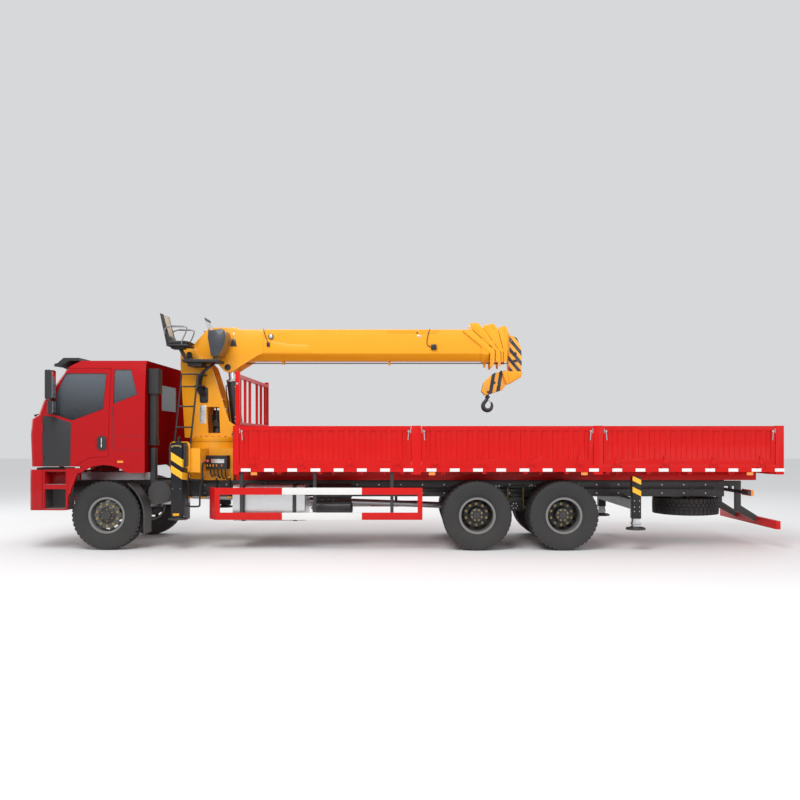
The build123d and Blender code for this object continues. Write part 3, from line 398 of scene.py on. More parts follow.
@dataclass(frozen=True)
class Lens(Finish):
    """Moulded lamp lens with fine upright flutes."""

    flute: float = 0.018

    def height(self, graph: Graph) -> Term:
        """Flutes across the lamp."""
        return ((graph.y + graph.x) / self.flute).wrap() * 2.0


@dataclass(frozen=True)
class Tread(Finish):
    """Pressed tread plate."""

    pitch: float = 0.03

    def height(self, graph: Graph) -> Term:
        """Crossed bars.

        Args:
            graph: the material's node tree.

        Returns:
            one on a bar, else zero.
        """
        one = ((graph.x + graph.y) / self.pitch).wrap().over(0.55)
        two = ((graph.x - graph.y) / self.pitch).wrap().over(0.55)
        return one * (1 - two) + two * (1 - one)


@dataclass(frozen=True)
class Grooved(Finish):
    """Floor plates laid side by side with narrow joints."""

    pitch: float = 0.6

    def height(self, graph: Graph) -> Term:
        """Joints between plates."""
        return (graph.x / self.pitch).wrap().over(0.015)


@dataclass(frozen=True)
class Laid(Finish):
    """Laid wire rope."""

    pitch: float = 0.03

    def height(self, graph: Graph) -> Term:
        """Slanting strands."""
        return ((graph.x + graph.z * 0.8 + graph.y) / self.pitch).wrap()


@dataclass(frozen=True)
class Woven(Finish):
    """Woven cloth."""

    pitch: float = 0.006

    def height(self, graph: Graph) -> Term:
        """Two sets of threads.

        Args:
            graph: the material's node tree.

        Returns:
            the threads' height.
        """
        one = ((graph.x + graph.z) / self.pitch).wrap()
        two = (graph.y / self.pitch).wrap()
        return (one - 0.5).size() + (two - 0.5).size()


YELLOW = (0.94, 0.4, 0.018)
CAB_PAINT = Finish("cab_paint", (0.43, 0.004, 0.007), 0.22, coat=0.22, vary=0.05, grain=60.0, depth=0.0002,
                   dust=0.03, shine=0.15)
BODY_PAINT = Finish("body_paint", (0.62, 0.007, 0.006), 0.34, coat=0.08, vary=0.08, grain=70.0, depth=0.0003,
                    dust=0.03, shine=0.15)
# The cab paint darkened for the rear wall as painted shade, and made matte.
REAR_WALL_SHADE = replace(CAB_PAINT, name="rear_wall_painted_shade", colour=(0.22, 0.003, 0.004), roughness=0.6, coat=0.0,
                    shine=0.0)
BLACK_PAINT = Finish("chassis_paint", (0.014, 0.0145, 0.016), 0.42, coat=0.2, vary=0.25, depth=0.0006, dust=0.12)
YELLOW_PAINT = Finish("crane_paint", YELLOW, 0.3, coat=0.15, vary=0.06, grain=70.0, depth=0.0003, dust=0.03,
                      shine=0.25)
# The crane yellow darkened for the lever console's body: painted shade.
YELLOW_IN_SHADE = replace(YELLOW_PAINT, name="console_yellow_painted_shade", colour=(0.26, 0.145, 0.045), roughness=0.45)
STRIPES = Striped("boom_head_stripes", YELLOW, 0.32, coat=0.4, vary=0.06, grain=70.0, depth=0.0003, phase=0.41,
                  lowest=2.885)
BLOCK_STRIPES = replace(STRIPES, name="hook_block_stripes", across=1.0, up=-0.17, pitch=0.122, phase=0.57,
                        lowest=0.0, ends=(9.1, 11.2))
GUARD_PAINT = Guarded("guard_paint", (0.62, 0.008, 0.007), 0.38, coat=0.08, vary=0.08, dust=0.04, shine=0.15)
PLASTIC = Finish("black_moulding", (0.022, 0.022, 0.024), 0.5, vary=0.15, grain=500.0, depth=0.0004, dust=0.25)
RUBBER = Finish("tyre_rubber", (0.017, 0.017, 0.018), 0.66, vary=0.25, cloud=5.0, grain=160.0, depth=0.0008,
                dust=0.07)
RIM = Finish("rim_paint", (0.2, 0.2, 0.195), 0.42, 0.25, coat=0.2, vary=0.15, dust=0.15)
DISC_GREY = Finish("front_disc_paint", (0.085, 0.085, 0.083), 0.45, 0.2, coat=0.2, vary=0.2, dust=0.1)
DISC_PAINT = Finish("disc_paint", (0.02, 0.02, 0.021), 0.45, coat=0.2, vary=0.2, dust=0.1)
GOLD = Finish("plated_nut", (0.42, 0.33, 0.15), 0.34, 0.9, vary=0.15, dust=0.15)
STEEL = Finish("bare_steel", (0.55, 0.56, 0.58), 0.32, 0.9, vary=0.12, grain=300.0, dust=0.2)
CHROME = Finish("chromed_rod", (0.82, 0.83, 0.85), 0.1, 1.0, vary=0.03, depth=0.0001, dust=0.0)
ALLOY = Finish("brushed_alloy", (0.72, 0.73, 0.74), 0.28, 0.85, vary=0.08, grain=60.0, depth=0.0003,
               stretch=(1.0, 12.0, 12.0), dust=0.1)
SLATE = Banded("leg_paint_left", (0.009, 0.0105, 0.015), 0.36, coat=0.1, shine=0.2, vary=0.15, dust=0.08, lean=0.65,
               middle=2.467 - HALF, bands=((1.225, 1.336), (1.415, 1.54)))
SLATE_RIGHT = replace(SLATE, name="leg_paint_right", middle=2.651 - HALF)
REAR_LEG = replace(SLATE, name="rear_leg_paint", colour=(0.014, 0.0145, 0.016), lean=0.5, middle=9.641 - HALF,
                   bands=((0.914, 0.997), (1.092, 1.169)))
TUBE = Finish("seat_tube", (0.24, 0.235, 0.26), 0.4, 0.4, vary=0.1, dust=0.0)
VINYL = Finish("seat_vinyl", (0.014, 0.014, 0.015), 0.5, vary=0.2, grain=380.0, depth=0.0008, dust=0.0)
CONSOLE_PAINT = Finish("console_paint", (0.035, 0.04, 0.048), 0.38, coat=0.3, vary=0.1, dust=0.0)
BRASS = Finish("waxed_bolt", (0.42, 0.28, 0.07), 0.4, 0.8, vary=0.2, dust=0.1)
PINK = Finish("stop_knob", (0.75, 0.1, 0.16), 0.35, coat=0.5, vary=0.05, dust=0.0)
GLASS = Glazing("tinted_glass", (0.02, 0.023, 0.027), 0.04, alpha=0.74)
CLEAR = Lens("clear_lens", (0.75, 0.77, 0.8), 0.12, coat=1.0, depth=0.0012)
AMBER = Lens("amber_lens", (0.95, 0.28, 0.02), 0.15, coat=1.0, depth=0.001, vary=0.05)
RUBY = replace(AMBER, name="ruby_lens", colour=(0.6, 0.01, 0.012))
TREAD_PLATE = Tread("tread_plate", (0.6, 0.61, 0.62), 0.3, 0.8, vary=0.1, depth=0.0015, dust=0.2)
REFLECTIVE = Finish("reflective_tape", (0.83, 0.84, 0.85), 0.3, 0.1, coat=0.4, vary=0.04, grain=700.0)
INTERIOR = Finish("cab_lining", (0.1, 0.1, 0.105), 0.7, vary=0.1, grain=400.0, depth=0.0006, dust=0.0)
FABRIC = Woven("seat_cloth", (0.56, 0.47, 0.36), 0.85, vary=0.15, depth=0.0006, dust=0.0)
CAB_FABRIC = replace(FABRIC, name="cab_seat_cloth", colour=(0.06, 0.062, 0.07))
ROPE_WIRE = Laid("wire_rope", (0.11, 0.1, 0.09), 0.45, 0.7, vary=0.2, depth=0.002)
HOSE = Finish("hose_rubber", (0.02, 0.02, 0.022), 0.55, vary=0.15, grain=600.0)
DECK_PLANKS = Grooved("deck_plates", (0.3, 0.012, 0.016), 0.5, coat=0.1, vary=0.25, depth=0.003, dust=0.0)
IRON = Finish("forged_hook", (0.05, 0.05, 0.055), 0.45, 0.5, vary=0.25, grain=90.0, depth=0.001, dust=0.0)


# Modelling


def thicken(part: bmesh.types.BMesh, faces: list, run: Vector) -> None:
    """Extrude faces along a run and turn every face outwards.

    Args:
        part: the mesh.
        faces: the faces to extrude.
        run: how far and which way.
    """
    moved = bmesh.ops.extrude_face_region(part, geom=faces)
    bmesh.ops.translate(part, vec=run, verts=[v for v in moved["geom"] if isinstance(v, bmesh.types.BMVert)])
    bmesh.ops.recalc_face_normals(part, faces=part.faces)


def spun(points: list, closed: bool, steps: int, axis: tuple = (0, 1, 0)) -> bmesh.types.BMesh:
    """A line of points spun full round the origin.

    Args:
        points: the line's places.
        closed: whether its last point joins its first.
        steps: steps round.
        axis: the axis to turn about.

    Returns:
        the mesh, with its doubles merged.
    """
    part = bmesh.new()
    verts = [part.verts.new(point) for point in points]
    edges = [part.edges.new(pair) for pair in zip(verts, verts[1:] + (verts[:1] if closed else []))]
    bmesh.ops.spin(part, geom=verts + edges, cent=(0, 0, 0), axis=axis, dvec=(0, 0, 0), angle=math.tau,
                   steps=steps, use_merge=True)
    bmesh.ops.remove_doubles(part, verts=part.verts, dist=1e-6)
    return part


class Form:
    """A mesh in the making, put together from pieces that bmesh operators shape."""

    def __init__(self) -> None:
        """Start empty; index picks the finish of what is added next."""
        self.bm = bmesh.new()
        self.index = 0

    def take(self, part: bmesh.types.BMesh, bevel: float = 0.0, segments: int = 2) -> "Form":
        """Bevel a part's sharp edges, give it the current finish and join it.

        Args:
            part: the mesh to add, which is used up.
            bevel: width of the bevel, or 0 for none.
            segments: steps of the bevel.

        Returns:
            this form.
        """
        if bevel > 0.0:
            sharp = [e for e in part.edges if len(e.link_faces) == 2 and e.calc_face_angle(0.0) > 0.45]
            bmesh.ops.bevel(part, geom=sharp, offset=bevel, offset_type="OFFSET", segments=segments,
                            profile=0.5, affect="EDGES", clamp_overlap=True, material=-1)
        for face in part.faces:
            face.material_index = self.index
        return self.absorb(part)

    def block(self, u: tuple, y: tuple, z: tuple, bevel: float = 0.004, segments: int = 2,
              turn: Matrix | None = None) -> "Form":
        """A box from its low and high u, y and z, turned about its middle where asked.

        Args:
            u: low and high u.
            y: low and high y.
            z: low and high z.
            bevel: width of the edges' bevel.
            segments: steps of the bevel.
            turn: a turn about the box's middle.

        Returns:
            this form.
        """
        part = bmesh.new()
        size = Vector((u[1] - u[0], y[1] - y[0], z[1] - z[0]))
        middle = at((u[0] + u[1]) / 2, (y[0] + y[1]) / 2, (z[0] + z[1]) / 2)
        bmesh.ops.create_cube(part, size=1.0, matrix=Matrix.Diagonal((*size, 1.0)))
        place = Matrix.Translation(middle)
        if turn is not None:
            place = place @ turn
        bmesh.ops.transform(part, matrix=place, verts=part.verts)
        return self.take(part, bevel, segments)

    def bar(self, start: Vector, end: Vector, radius: float, sides: int = 16, bevel: float = 0.0,
            tip: float | None = None) -> "Form":
        """A round or many-sided bar between two points, tapered to a tip radius where given.

        Args:
            start: middle of one end.
            end: middle of the other end.
            radius: radius at the start.
            sides: sides round.
            bevel: width of the ends' bevel.
            tip: radius at the end, the same where not given.

        Returns:
            this form.
        """
        part = bmesh.new()
        run = end - start
        turn = run.to_track_quat("Z", "Y").to_matrix().to_4x4()
        bmesh.ops.create_cone(part, cap_ends=True, segments=sides, radius1=radius,
                              radius2=radius if tip is None else tip, depth=run.length,
                              matrix=Matrix.Translation((start + end) / 2) @ turn)
        return self.take(part, bevel)

    def prism(self, outline: tuple, y: tuple, bevel: float = 0.003, segments: int = 2) -> "Form":
        """An outline in u and z, as thick as from y[0] to y[1]."""
        return self.extruded([at(u, y[0], z) for u, z in outline], Vector((0, y[1] - y[0], 0)), bevel, segments)

    def extruded(self, corners: list, run: Vector, bevel: float = 0.003, segments: int = 2) -> "Form":
        """A closed outline extruded along a run.

        Args:
            corners: the outline's places.
            run: how far and which way it goes.
            bevel: width of the edges' bevel.
            segments: steps of the bevel.

        Returns:
            this form.
        """
        part = bmesh.new()
        face = part.faces.new([part.verts.new(corner) for corner in corners])
        thicken(part, [face], run)
        return self.take(part, bevel, segments)

    def band(self, outline: tuple, width: float, y: tuple, bevel: float = 0.002) -> "Form":
        """A flat ring that follows an outline in u and z, as wide as width inwards, from y[0] to y[1].

        Args:
            outline: points in u and z.
            width: the ring's width, outwards where negative.
            y: from and to y.
            bevel: width of the edges' bevel.

        Returns:
            this form.
        """
        part = bmesh.new()
        face = part.faces.new([part.verts.new(at(u, y[0], z)) for u, z in outline])
        bmesh.ops.inset_individual(part, faces=[face], thickness=width, depth=0.0)
        bmesh.ops.delete(part, geom=[face], context="FACES")
        thicken(part, list(part.faces), Vector((0, y[1] - y[0], 0)))
        return self.take(part, bevel)

    def lathe(self, profile: tuple, centre: Vector, axis: Axis = Axis.ALONG_Y, steps: int = 64) -> "Form":
        """A closed profile in radius and distance along the axis, spun full round.

        Args:
            profile: points as radius and distance along the axis.
            centre: the profile's origin.
            axis: the axis to turn about.
            steps: steps round.

        Returns:
            this form.
        """
        part = spun([(radius, out, 0.0) for radius, out in profile], True, steps)
        bmesh.ops.recalc_face_normals(part, faces=part.faces)
        bmesh.ops.transform(part, matrix=Matrix.Translation(centre) @ axis.value, verts=part.verts)
        return self.take(part)

    def pipe(self, points: tuple, radius: float, sides: int = 3, shares: tuple = ()) -> "Form":
        """A round hose or tube along a smooth line, with shares of its radius at its points.

        Args:
            points: control points of the line.
            radius: the pipe's radius.
            sides: how round it is.
            shares: share of the radius at each point, 1 where not given.

        Returns:
            this form.
        """
        curve = bpy.data.curves.new("route", "CURVE")
        curve.dimensions = "3D"
        curve.bevel_depth, curve.bevel_resolution, curve.use_fill_caps = radius, sides, True
        curve.resolution_u = 6
        spline = curve.splines.new("NURBS")
        spline.points.add(len(points) - 1)
        for knot, point, share in zip(spline.points, points, shares or (1.0,) * len(points)):
            knot.co, knot.radius = (*point, 1.0), share
        spline.order_u, spline.use_endpoint_u = 3, True
        route = bpy.data.objects.new("route", curve)
        bpy.context.scene.collection.objects.link(route)
        graph = bpy.context.evaluated_depsgraph_get()
        mesh = bpy.data.meshes.new_from_object(route.evaluated_get(graph))
        part = bmesh.new()
        part.from_mesh(mesh)
        bmesh.ops.remove_doubles(part, verts=part.verts, dist=1e-6)
        bpy.data.objects.remove(route)
        bpy.data.meshes.remove(mesh)
        return self.take(part)

    def absorb(self, part: bmesh.types.BMesh) -> "Form":
        """Move a mesh's faces into this form.

        Args:
            part: the mesh, which is used up.

        Returns:
            this form.
        """
        mesh = bpy.data.meshes.new("part")
        part.to_mesh(mesh)
        part.free()
        self.bm.from_mesh(mesh)
        bpy.data.meshes.remove(mesh)
        return self

    def join(self, other: "Form") -> "Form":
        """Add another form, which is used up and keeps its own finish numbers."""
        return self.absorb(other.bm)

    def bolts(self, places: list, axis: Vector, radius: float = 0.012, height: float = 0.01) -> "Form":
        """Hexagon heads at places, standing out along an axis.

        Args:
            places: middles of the heads' feet.
            axis: the way they stand.
            radius: the heads' radius.
            height: the heads' height.

        Returns:
            this form.
        """
        for foot in places:
            self.bar(foot, foot + axis * height, radius, 6)
        return self

    def node(self, name: str, bevel: float = 0.0) -> "Form":
        """A merged copy of a CAD node with its flat faces whole again and its edges softened.

        Args:
            name: the CAD node.
            bevel: width of its edges' bevel.

        Returns:
            this form.
        """
        part = bmesh.new()
        part.from_mesh(frame["nodes"][name].data)
        bmesh.ops.remove_doubles(part, verts=part.verts, dist=2e-5)
        bmesh.ops.dissolve_limit(part, angle_limit=math.radians(0.4), verts=part.verts, edges=part.edges)
        return self.take(part, bevel)

    def mirrored(self) -> "Form":
        """The same again on the truck's other side.

        Returns:
            this form.
        """
        made = bmesh.ops.duplicate(self.bm, geom=self.bm.verts[:] + self.bm.edges[:] + self.bm.faces[:])["geom"]
        bmesh.ops.scale(self.bm, vec=(1, -1, 1), verts=[g for g in made if isinstance(g, bmesh.types.BMVert)])
        bmesh.ops.reverse_faces(self.bm, faces=[g for g in made if isinstance(g, bmesh.types.BMFace)])
        return self

    def flipped(self, sign: int) -> "Form":
        """Moved to the left side where the sign is negative.

        Args:
            sign: the side's sign.

        Returns:
            this form.
        """
        if sign < 0:
            bmesh.ops.scale(self.bm, vec=(1, -1, 1), verts=self.bm.verts)
            bmesh.ops.reverse_faces(self.bm, faces=self.bm.faces)
        return self

    def without(self, test: Callable[[Vector], bool]) -> "Form":
        """Drop the faces whose middle passes a test.

        Args:
            test: says whether a face goes, from its middle with u in place of X.

        Returns:
            this form.
        """
        gone = [face for face in self.bm.faces if test(face.calc_center_median() + Vector((HALF, 0, 0)))]
        bmesh.ops.delete(self.bm, geom=gone, context="FACES")
        return self

    def paint(self, index: int, test: Callable[[Vector], bool]) -> "Form":
        """Give a finish to the faces whose middle passes a test.

        Args:
            index: number of the finish.
            test: says whether a face gets it, from its middle with u in place of X.

        Returns:
            this form.
        """
        for face in self.bm.faces:
            if test(face.calc_center_median() + Vector((HALF, 0, 0))):
                face.material_index = index
        return self


def span(near: float, far: float, sign: int) -> tuple:
    """Low and high y of two distances from the middle, on the side of a sign."""
    return tuple(sorted((near * sign, far * sign)))


def rounded(u: tuple, z: tuple, radius: float, steps: int = 5) -> list:
    """The outline in u and z of a plate with rounded corners.

    Args:
        u: low and high u.
        z: low and high z.
        radius: the corners' radius.
        steps: flats in a corner.

    Returns:
        the outline's points.
    """
    points = []
    for number, (cu, cz) in enumerate(((u[1] - radius, z[1] - radius), (u[0] + radius, z[1] - radius),
                                       (u[0] + radius, z[0] + radius), (u[1] - radius, z[0] + radius))):
        for step in range(steps + 1):
            turn = math.radians(90 * number + 90 * step / steps)
            points.append((cu + radius * math.cos(turn), cz + radius * math.sin(turn)))
    return points


def place(name: str, form: Form, finishes: tuple, body: str, slot: str, replaces: str = "") -> bpy.types.Object:
    """Turn a form into a finished piece.

    Args:
        name: the piece's name.
        form: its mesh in the making.
        finishes: one finish for each index that the form used.
        body: the CAD body that it rides on.
        slot: the record's material slot; not used.
        replaces: the CAD node that it stands for, if any.

    Returns:
        The piece.
    """
    for face in form.bm.faces:
        face.smooth = True
    for edge in form.bm.edges:
        edge.smooth = len(edge.link_faces) == 2 and edge.calc_face_angle(0.0) < SMOOTH_LIMIT
    mesh = bpy.data.meshes.new(name)
    form.bm.to_mesh(mesh)
    form.bm.free()
    for finish in finishes:
        mesh.materials.append(finish.material())
    piece = bpy.data.objects.new(name, mesh)
    bpy.context.scene.collection.objects.link(piece)
    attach(piece, body)
    if replaces:
        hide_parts(replaces)
    LOG.info("made %s on %s, %d faces", name, body, len(mesh.polygons))
    return piece


# Wheels


@dataclass
class Wheels:
    """Tyres with block tread, pressed rims with hand holes, hubs and nuts."""

    radius: float = 0.5425
    groove: float = 0.015
    blocks: int = 44
    front: tuple = (1.43, 1.0105)
    rear: tuple = (("rear1", 7.23), ("rear2", 8.58))
    rear_y: float = 0.915
    twin: float = 0.165
    stud_ring: float = 0.1675
    studs: int = 10
    spare_at: tuple = (10.87, 0.0, 0.616)
    disc_holes: tuple = (0.199, 0.239)
    disc_radii: tuple = (0.185, 0.2, 0.2125, 0.225, 0.2375, 0.2475, 0.25)

    def tyre(self, form: Form, centre: Vector, axis: Axis = Axis.ALONG_Y) -> None:
        """One tyre about a centre.

        Args:
            form: the form to add to.
            centre: the tyre's middle.
            axis: the wheel's axis.
        """
        base = self.radius - self.groove
        side = ((0.262, 0.108), (0.285, 0.1185), (0.3, 0.1215), (0.304, 0.128), (0.322, 0.131), (0.328, 0.137),
                (0.38, 0.1452), (0.43, 0.1465), (0.47, 0.144), (0.5, 0.1385), (base - 0.01, 0.134),
                (base, 0.124))
        profile = side + ((base, 0.052), (base - 0.002, 0.049), (base - 0.002, -0.049), (base, -0.052))
        profile += tuple((r, -y) for r, y in reversed(side))
        form.index = 0
        form.lathe(profile, centre, axis, 72)
        low, high = base - 0.012, self.radius
        rows = ((0.06, 0.1345, 0.0, 0.66), (-0.1345, -0.06, 0.0, 0.66), (0.006, 0.05, 0.5, 0.72),
                (-0.05, -0.006, 0.0, 0.72))
        for y0, y1, shift, share in rows:
            for i in range(self.blocks):
                part = bmesh.new()
                width = math.tau * self.radius / self.blocks * share
                bmesh.ops.create_cube(part, size=1.0, matrix=Matrix.Diagonal((high - low, y1 - y0, width, 1.0)))
                outer = [v for v in part.verts if v.co.x > 0 and v.co.y * (y0 + y1) > 0 and abs(y0 + y1) > 0.1]
                bmesh.ops.translate(part, vec=(-0.006, 0, 0), verts=outer)
                bmesh.ops.translate(part, vec=((low + high) / 2, (y0 + y1) / 2, 0), verts=part.verts)
                turn = Matrix.Rotation(math.tau * (i + shift) / self.blocks, 4, "Y")
                bmesh.ops.transform(part, matrix=Matrix.Translation(centre) @ axis.value @ turn, verts=part.verts)
                form.take(part)

    def barrel(self, form: Form, centre: Vector, axis: Axis = Axis.ALONG_Y) -> None:
        """The ring under one tyre, with rolled flanges.

        Args:
            form: the form to add to.
            centre: the ring's middle.
            axis: the wheel's axis.
        """
        outer = ((0.2855, 0.1185), (0.288, 0.114), (0.286, 0.1095), (0.27, 0.1085), (0.2617, 0.104))
        inner = ((0.25, 0.1), (0.252, 0.118), (0.27, 0.121))
        half = inner + outer
        form.lathe(half + tuple((r, -y) for r, y in reversed(half)), centre, axis, 72)

    def disc(self, form: Form, centre: Vector, bore: float, outs: tuple, axis: Axis = Axis.ALONG_Y) -> None:
        """A pressed disc from its middle line, with hand holes between two of the line's points.

        Args:
            form: the form to add to.
            centre: the wheel's middle.
            bore: radius of its middle hole.
            outs: the line's places along the axis, at the bore and then at each of disc_radii.
            axis: the wheel's axis.
        """
        part = spun([(radius, out, 0.0) for radius, out in zip((bore, *self.disc_radii), outs)], False, 80)
        gone = []
        for face in part.faces:
            middle = face.calc_center_median()
            radius = math.hypot(middle.x, middle.z)
            turn = (math.atan2(middle.z, middle.x) / math.tau * self.studs) % 1.0
            if self.disc_holes[0] < radius < self.disc_holes[1] and 0.25 < turn < 0.75:
                gone.append(face)
        bmesh.ops.delete(part, geom=gone, context="FACES")
        bmesh.ops.recalc_face_normals(part, faces=part.faces)
        bmesh.ops.solidify(part, geom=part.faces[:], thickness=0.011)
        bmesh.ops.recalc_face_normals(part, faces=part.faces)
        bmesh.ops.transform(part, matrix=Matrix.Translation(centre) @ axis.value, verts=part.verts)
        form.take(part)

    def nuts(self, form: Form, centre: Vector, out: float, count: int, ring: float, radius: float,
             length: float = 0.028) -> None:
        """Hexagon nuts with their stud ends in a ring.

        Args:
            form: the form to add to.
            centre: the wheel's middle.
            out: place of the nuts' feet along the axis.
            count: how many.
            ring: radius of their ring.
            radius: a nut's radius.
            length: a nut's length.
        """
        for i in range(count):
            turn = math.tau * (i + 0.5) / count
            foot = centre + Vector((ring * math.cos(turn), out, ring * math.sin(turn)))
            form.bar(foot, foot + OUT * 0.006, radius * 1.35, 14)
            form.bar(foot + OUT * 0.006, foot + OUT * length, radius, 6, 0.0015)
            form.bar(foot + OUT * length, foot + OUT * (length + 0.014), radius * 0.55, 10)

    def front_rim(self, form: Form, centre: Vector) -> None:
        """Front rim: the disc stands out and carries a hub cap.

        Args:
            form: the form to add to.
            centre: the wheel's middle.
        """
        self.barrel(form, centre)
        form.index = 2
        self.disc(form, centre, 0.1, (0.066, 0.07, 0.071, 0.066, 0.056, 0.044, 0.026, 0.01))
        form.index = 3
        form.lathe(((0.046, 0.06), (0.13, 0.06), (0.132, 0.076), (0.112, 0.086), (0.104, 0.098), (0.078, 0.104),
                    (0.074, 0.128), (0.066, 0.137), (0.03, 0.1405), (0.0, 0.1405), (0.0, 0.137),
                    (0.046, 0.13)), centre, steps=48)
        form.index = 1
        self.nuts(form, centre, 0.076, self.studs, self.stud_ring, 0.0165)
        self.nuts(form, centre, 0.101, 6, 0.09, 0.008, length=0.01)

    def rear_rim(self, form: Form, middle: Vector) -> None:
        """Twin rims back to back on one hub, drawn for the right side.

        Args:
            form: the form to add to.
            middle: the middle between the two tyres.
        """
        outer, inner = middle + Vector((0, self.twin, 0)), middle - Vector((0, self.twin, 0))
        self.barrel(form, outer)
        self.barrel(form, inner)
        form.index = 2
        outs = (0.01, 0.01, 0.014, 0.022, 0.034, 0.048, 0.06, 0.07)
        self.disc(form, middle, 0.112, outs)
        self.disc(form, middle, 0.112, tuple(-out for out in outs))
        form.lathe(((0.061, -0.06), (0.12, -0.06), (0.128, -0.02), (0.128, 0.018), (0.114, 0.03),
                    (0.108, 0.15), (0.112, 0.156), (0.112, 0.168), (0.102, 0.176), (0.06, 0.181),
                    (0.055, 0.194), (0.0, 0.196), (0.0, 0.19), (0.061, 0.11)), middle, steps=48)
        form.index = 1
        self.nuts(form, middle, 0.018, self.studs, self.stud_ring, 0.0165)
        self.nuts(form, middle, 0.177, 8, 0.083, 0.009, length=0.01)

    def build(self) -> None:
        """Make every wheel and the spare."""
        for side in Side:
            form = Form()
            centre = at(*self.front, self.radius)
            self.tyre(form, centre)
            place(f"front_tyre_{side.word}", form.flipped(side.sign), (RUBBER,), f"wheel_front_{side.word}",
                  "tyre", f"tyre_front_{side.word}")
            form = Form()
            self.front_rim(form, centre)
            place(f"front_rim_{side.word}", form.flipped(side.sign), (RIM, GOLD, DISC_GREY, DISC_PAINT),
                  f"wheel_front_{side.word}", "rim_steel", f"rim_front_{side.word}")
            for axle, u in self.rear:
                middle = at(u, self.rear_y, self.radius)
                form = Form()
                for out in (-self.twin, self.twin):
                    self.tyre(form, middle + Vector((0, out, 0)))
                place(f"{axle}_tyres_{side.word}", form.flipped(side.sign), (RUBBER,),
                      f"wheels_{axle}_{side.word}", "tyre", f"tyres_{axle}_{side.word}")
                form = Form()
                self.rear_rim(form, middle)
                place(f"{axle}_rims_{side.word}", form.flipped(side.sign), (RIM, GOLD, DISC_PAINT),
                      f"wheels_{axle}_{side.word}", "rim_steel", f"rims_{axle}_{side.word}")
        self.spare()

    def spare(self) -> None:
        """The spare lying flat under the frame with its carrier."""
        form = Form()
        centre = at(*self.spare_at)
        self.tyre(form, centre, Axis.ALONG_Z)
        form.index = 1
        self.barrel(form, centre, Axis.ALONG_Z)
        self.disc(form, centre, 0.112, (0.04, 0.04, 0.036, 0.028, 0.016, 0.002, -0.01, -0.02), Axis.ALONG_Z)
        form.index = 2
        u = self.spare_at[0]
        form.bar(at(u, 0, 0.56), at(u, 0, 0.8597), 0.03, 20)
        form.block((u - 0.1, u + 0.1), (-0.06, 0.06), (0.56, 0.575), 0.003)
        place("spare_tyre", form, (RUBBER, RIM, BLACK_PAINT), "chassis", "tyre", "spare_wheel")


# Cab


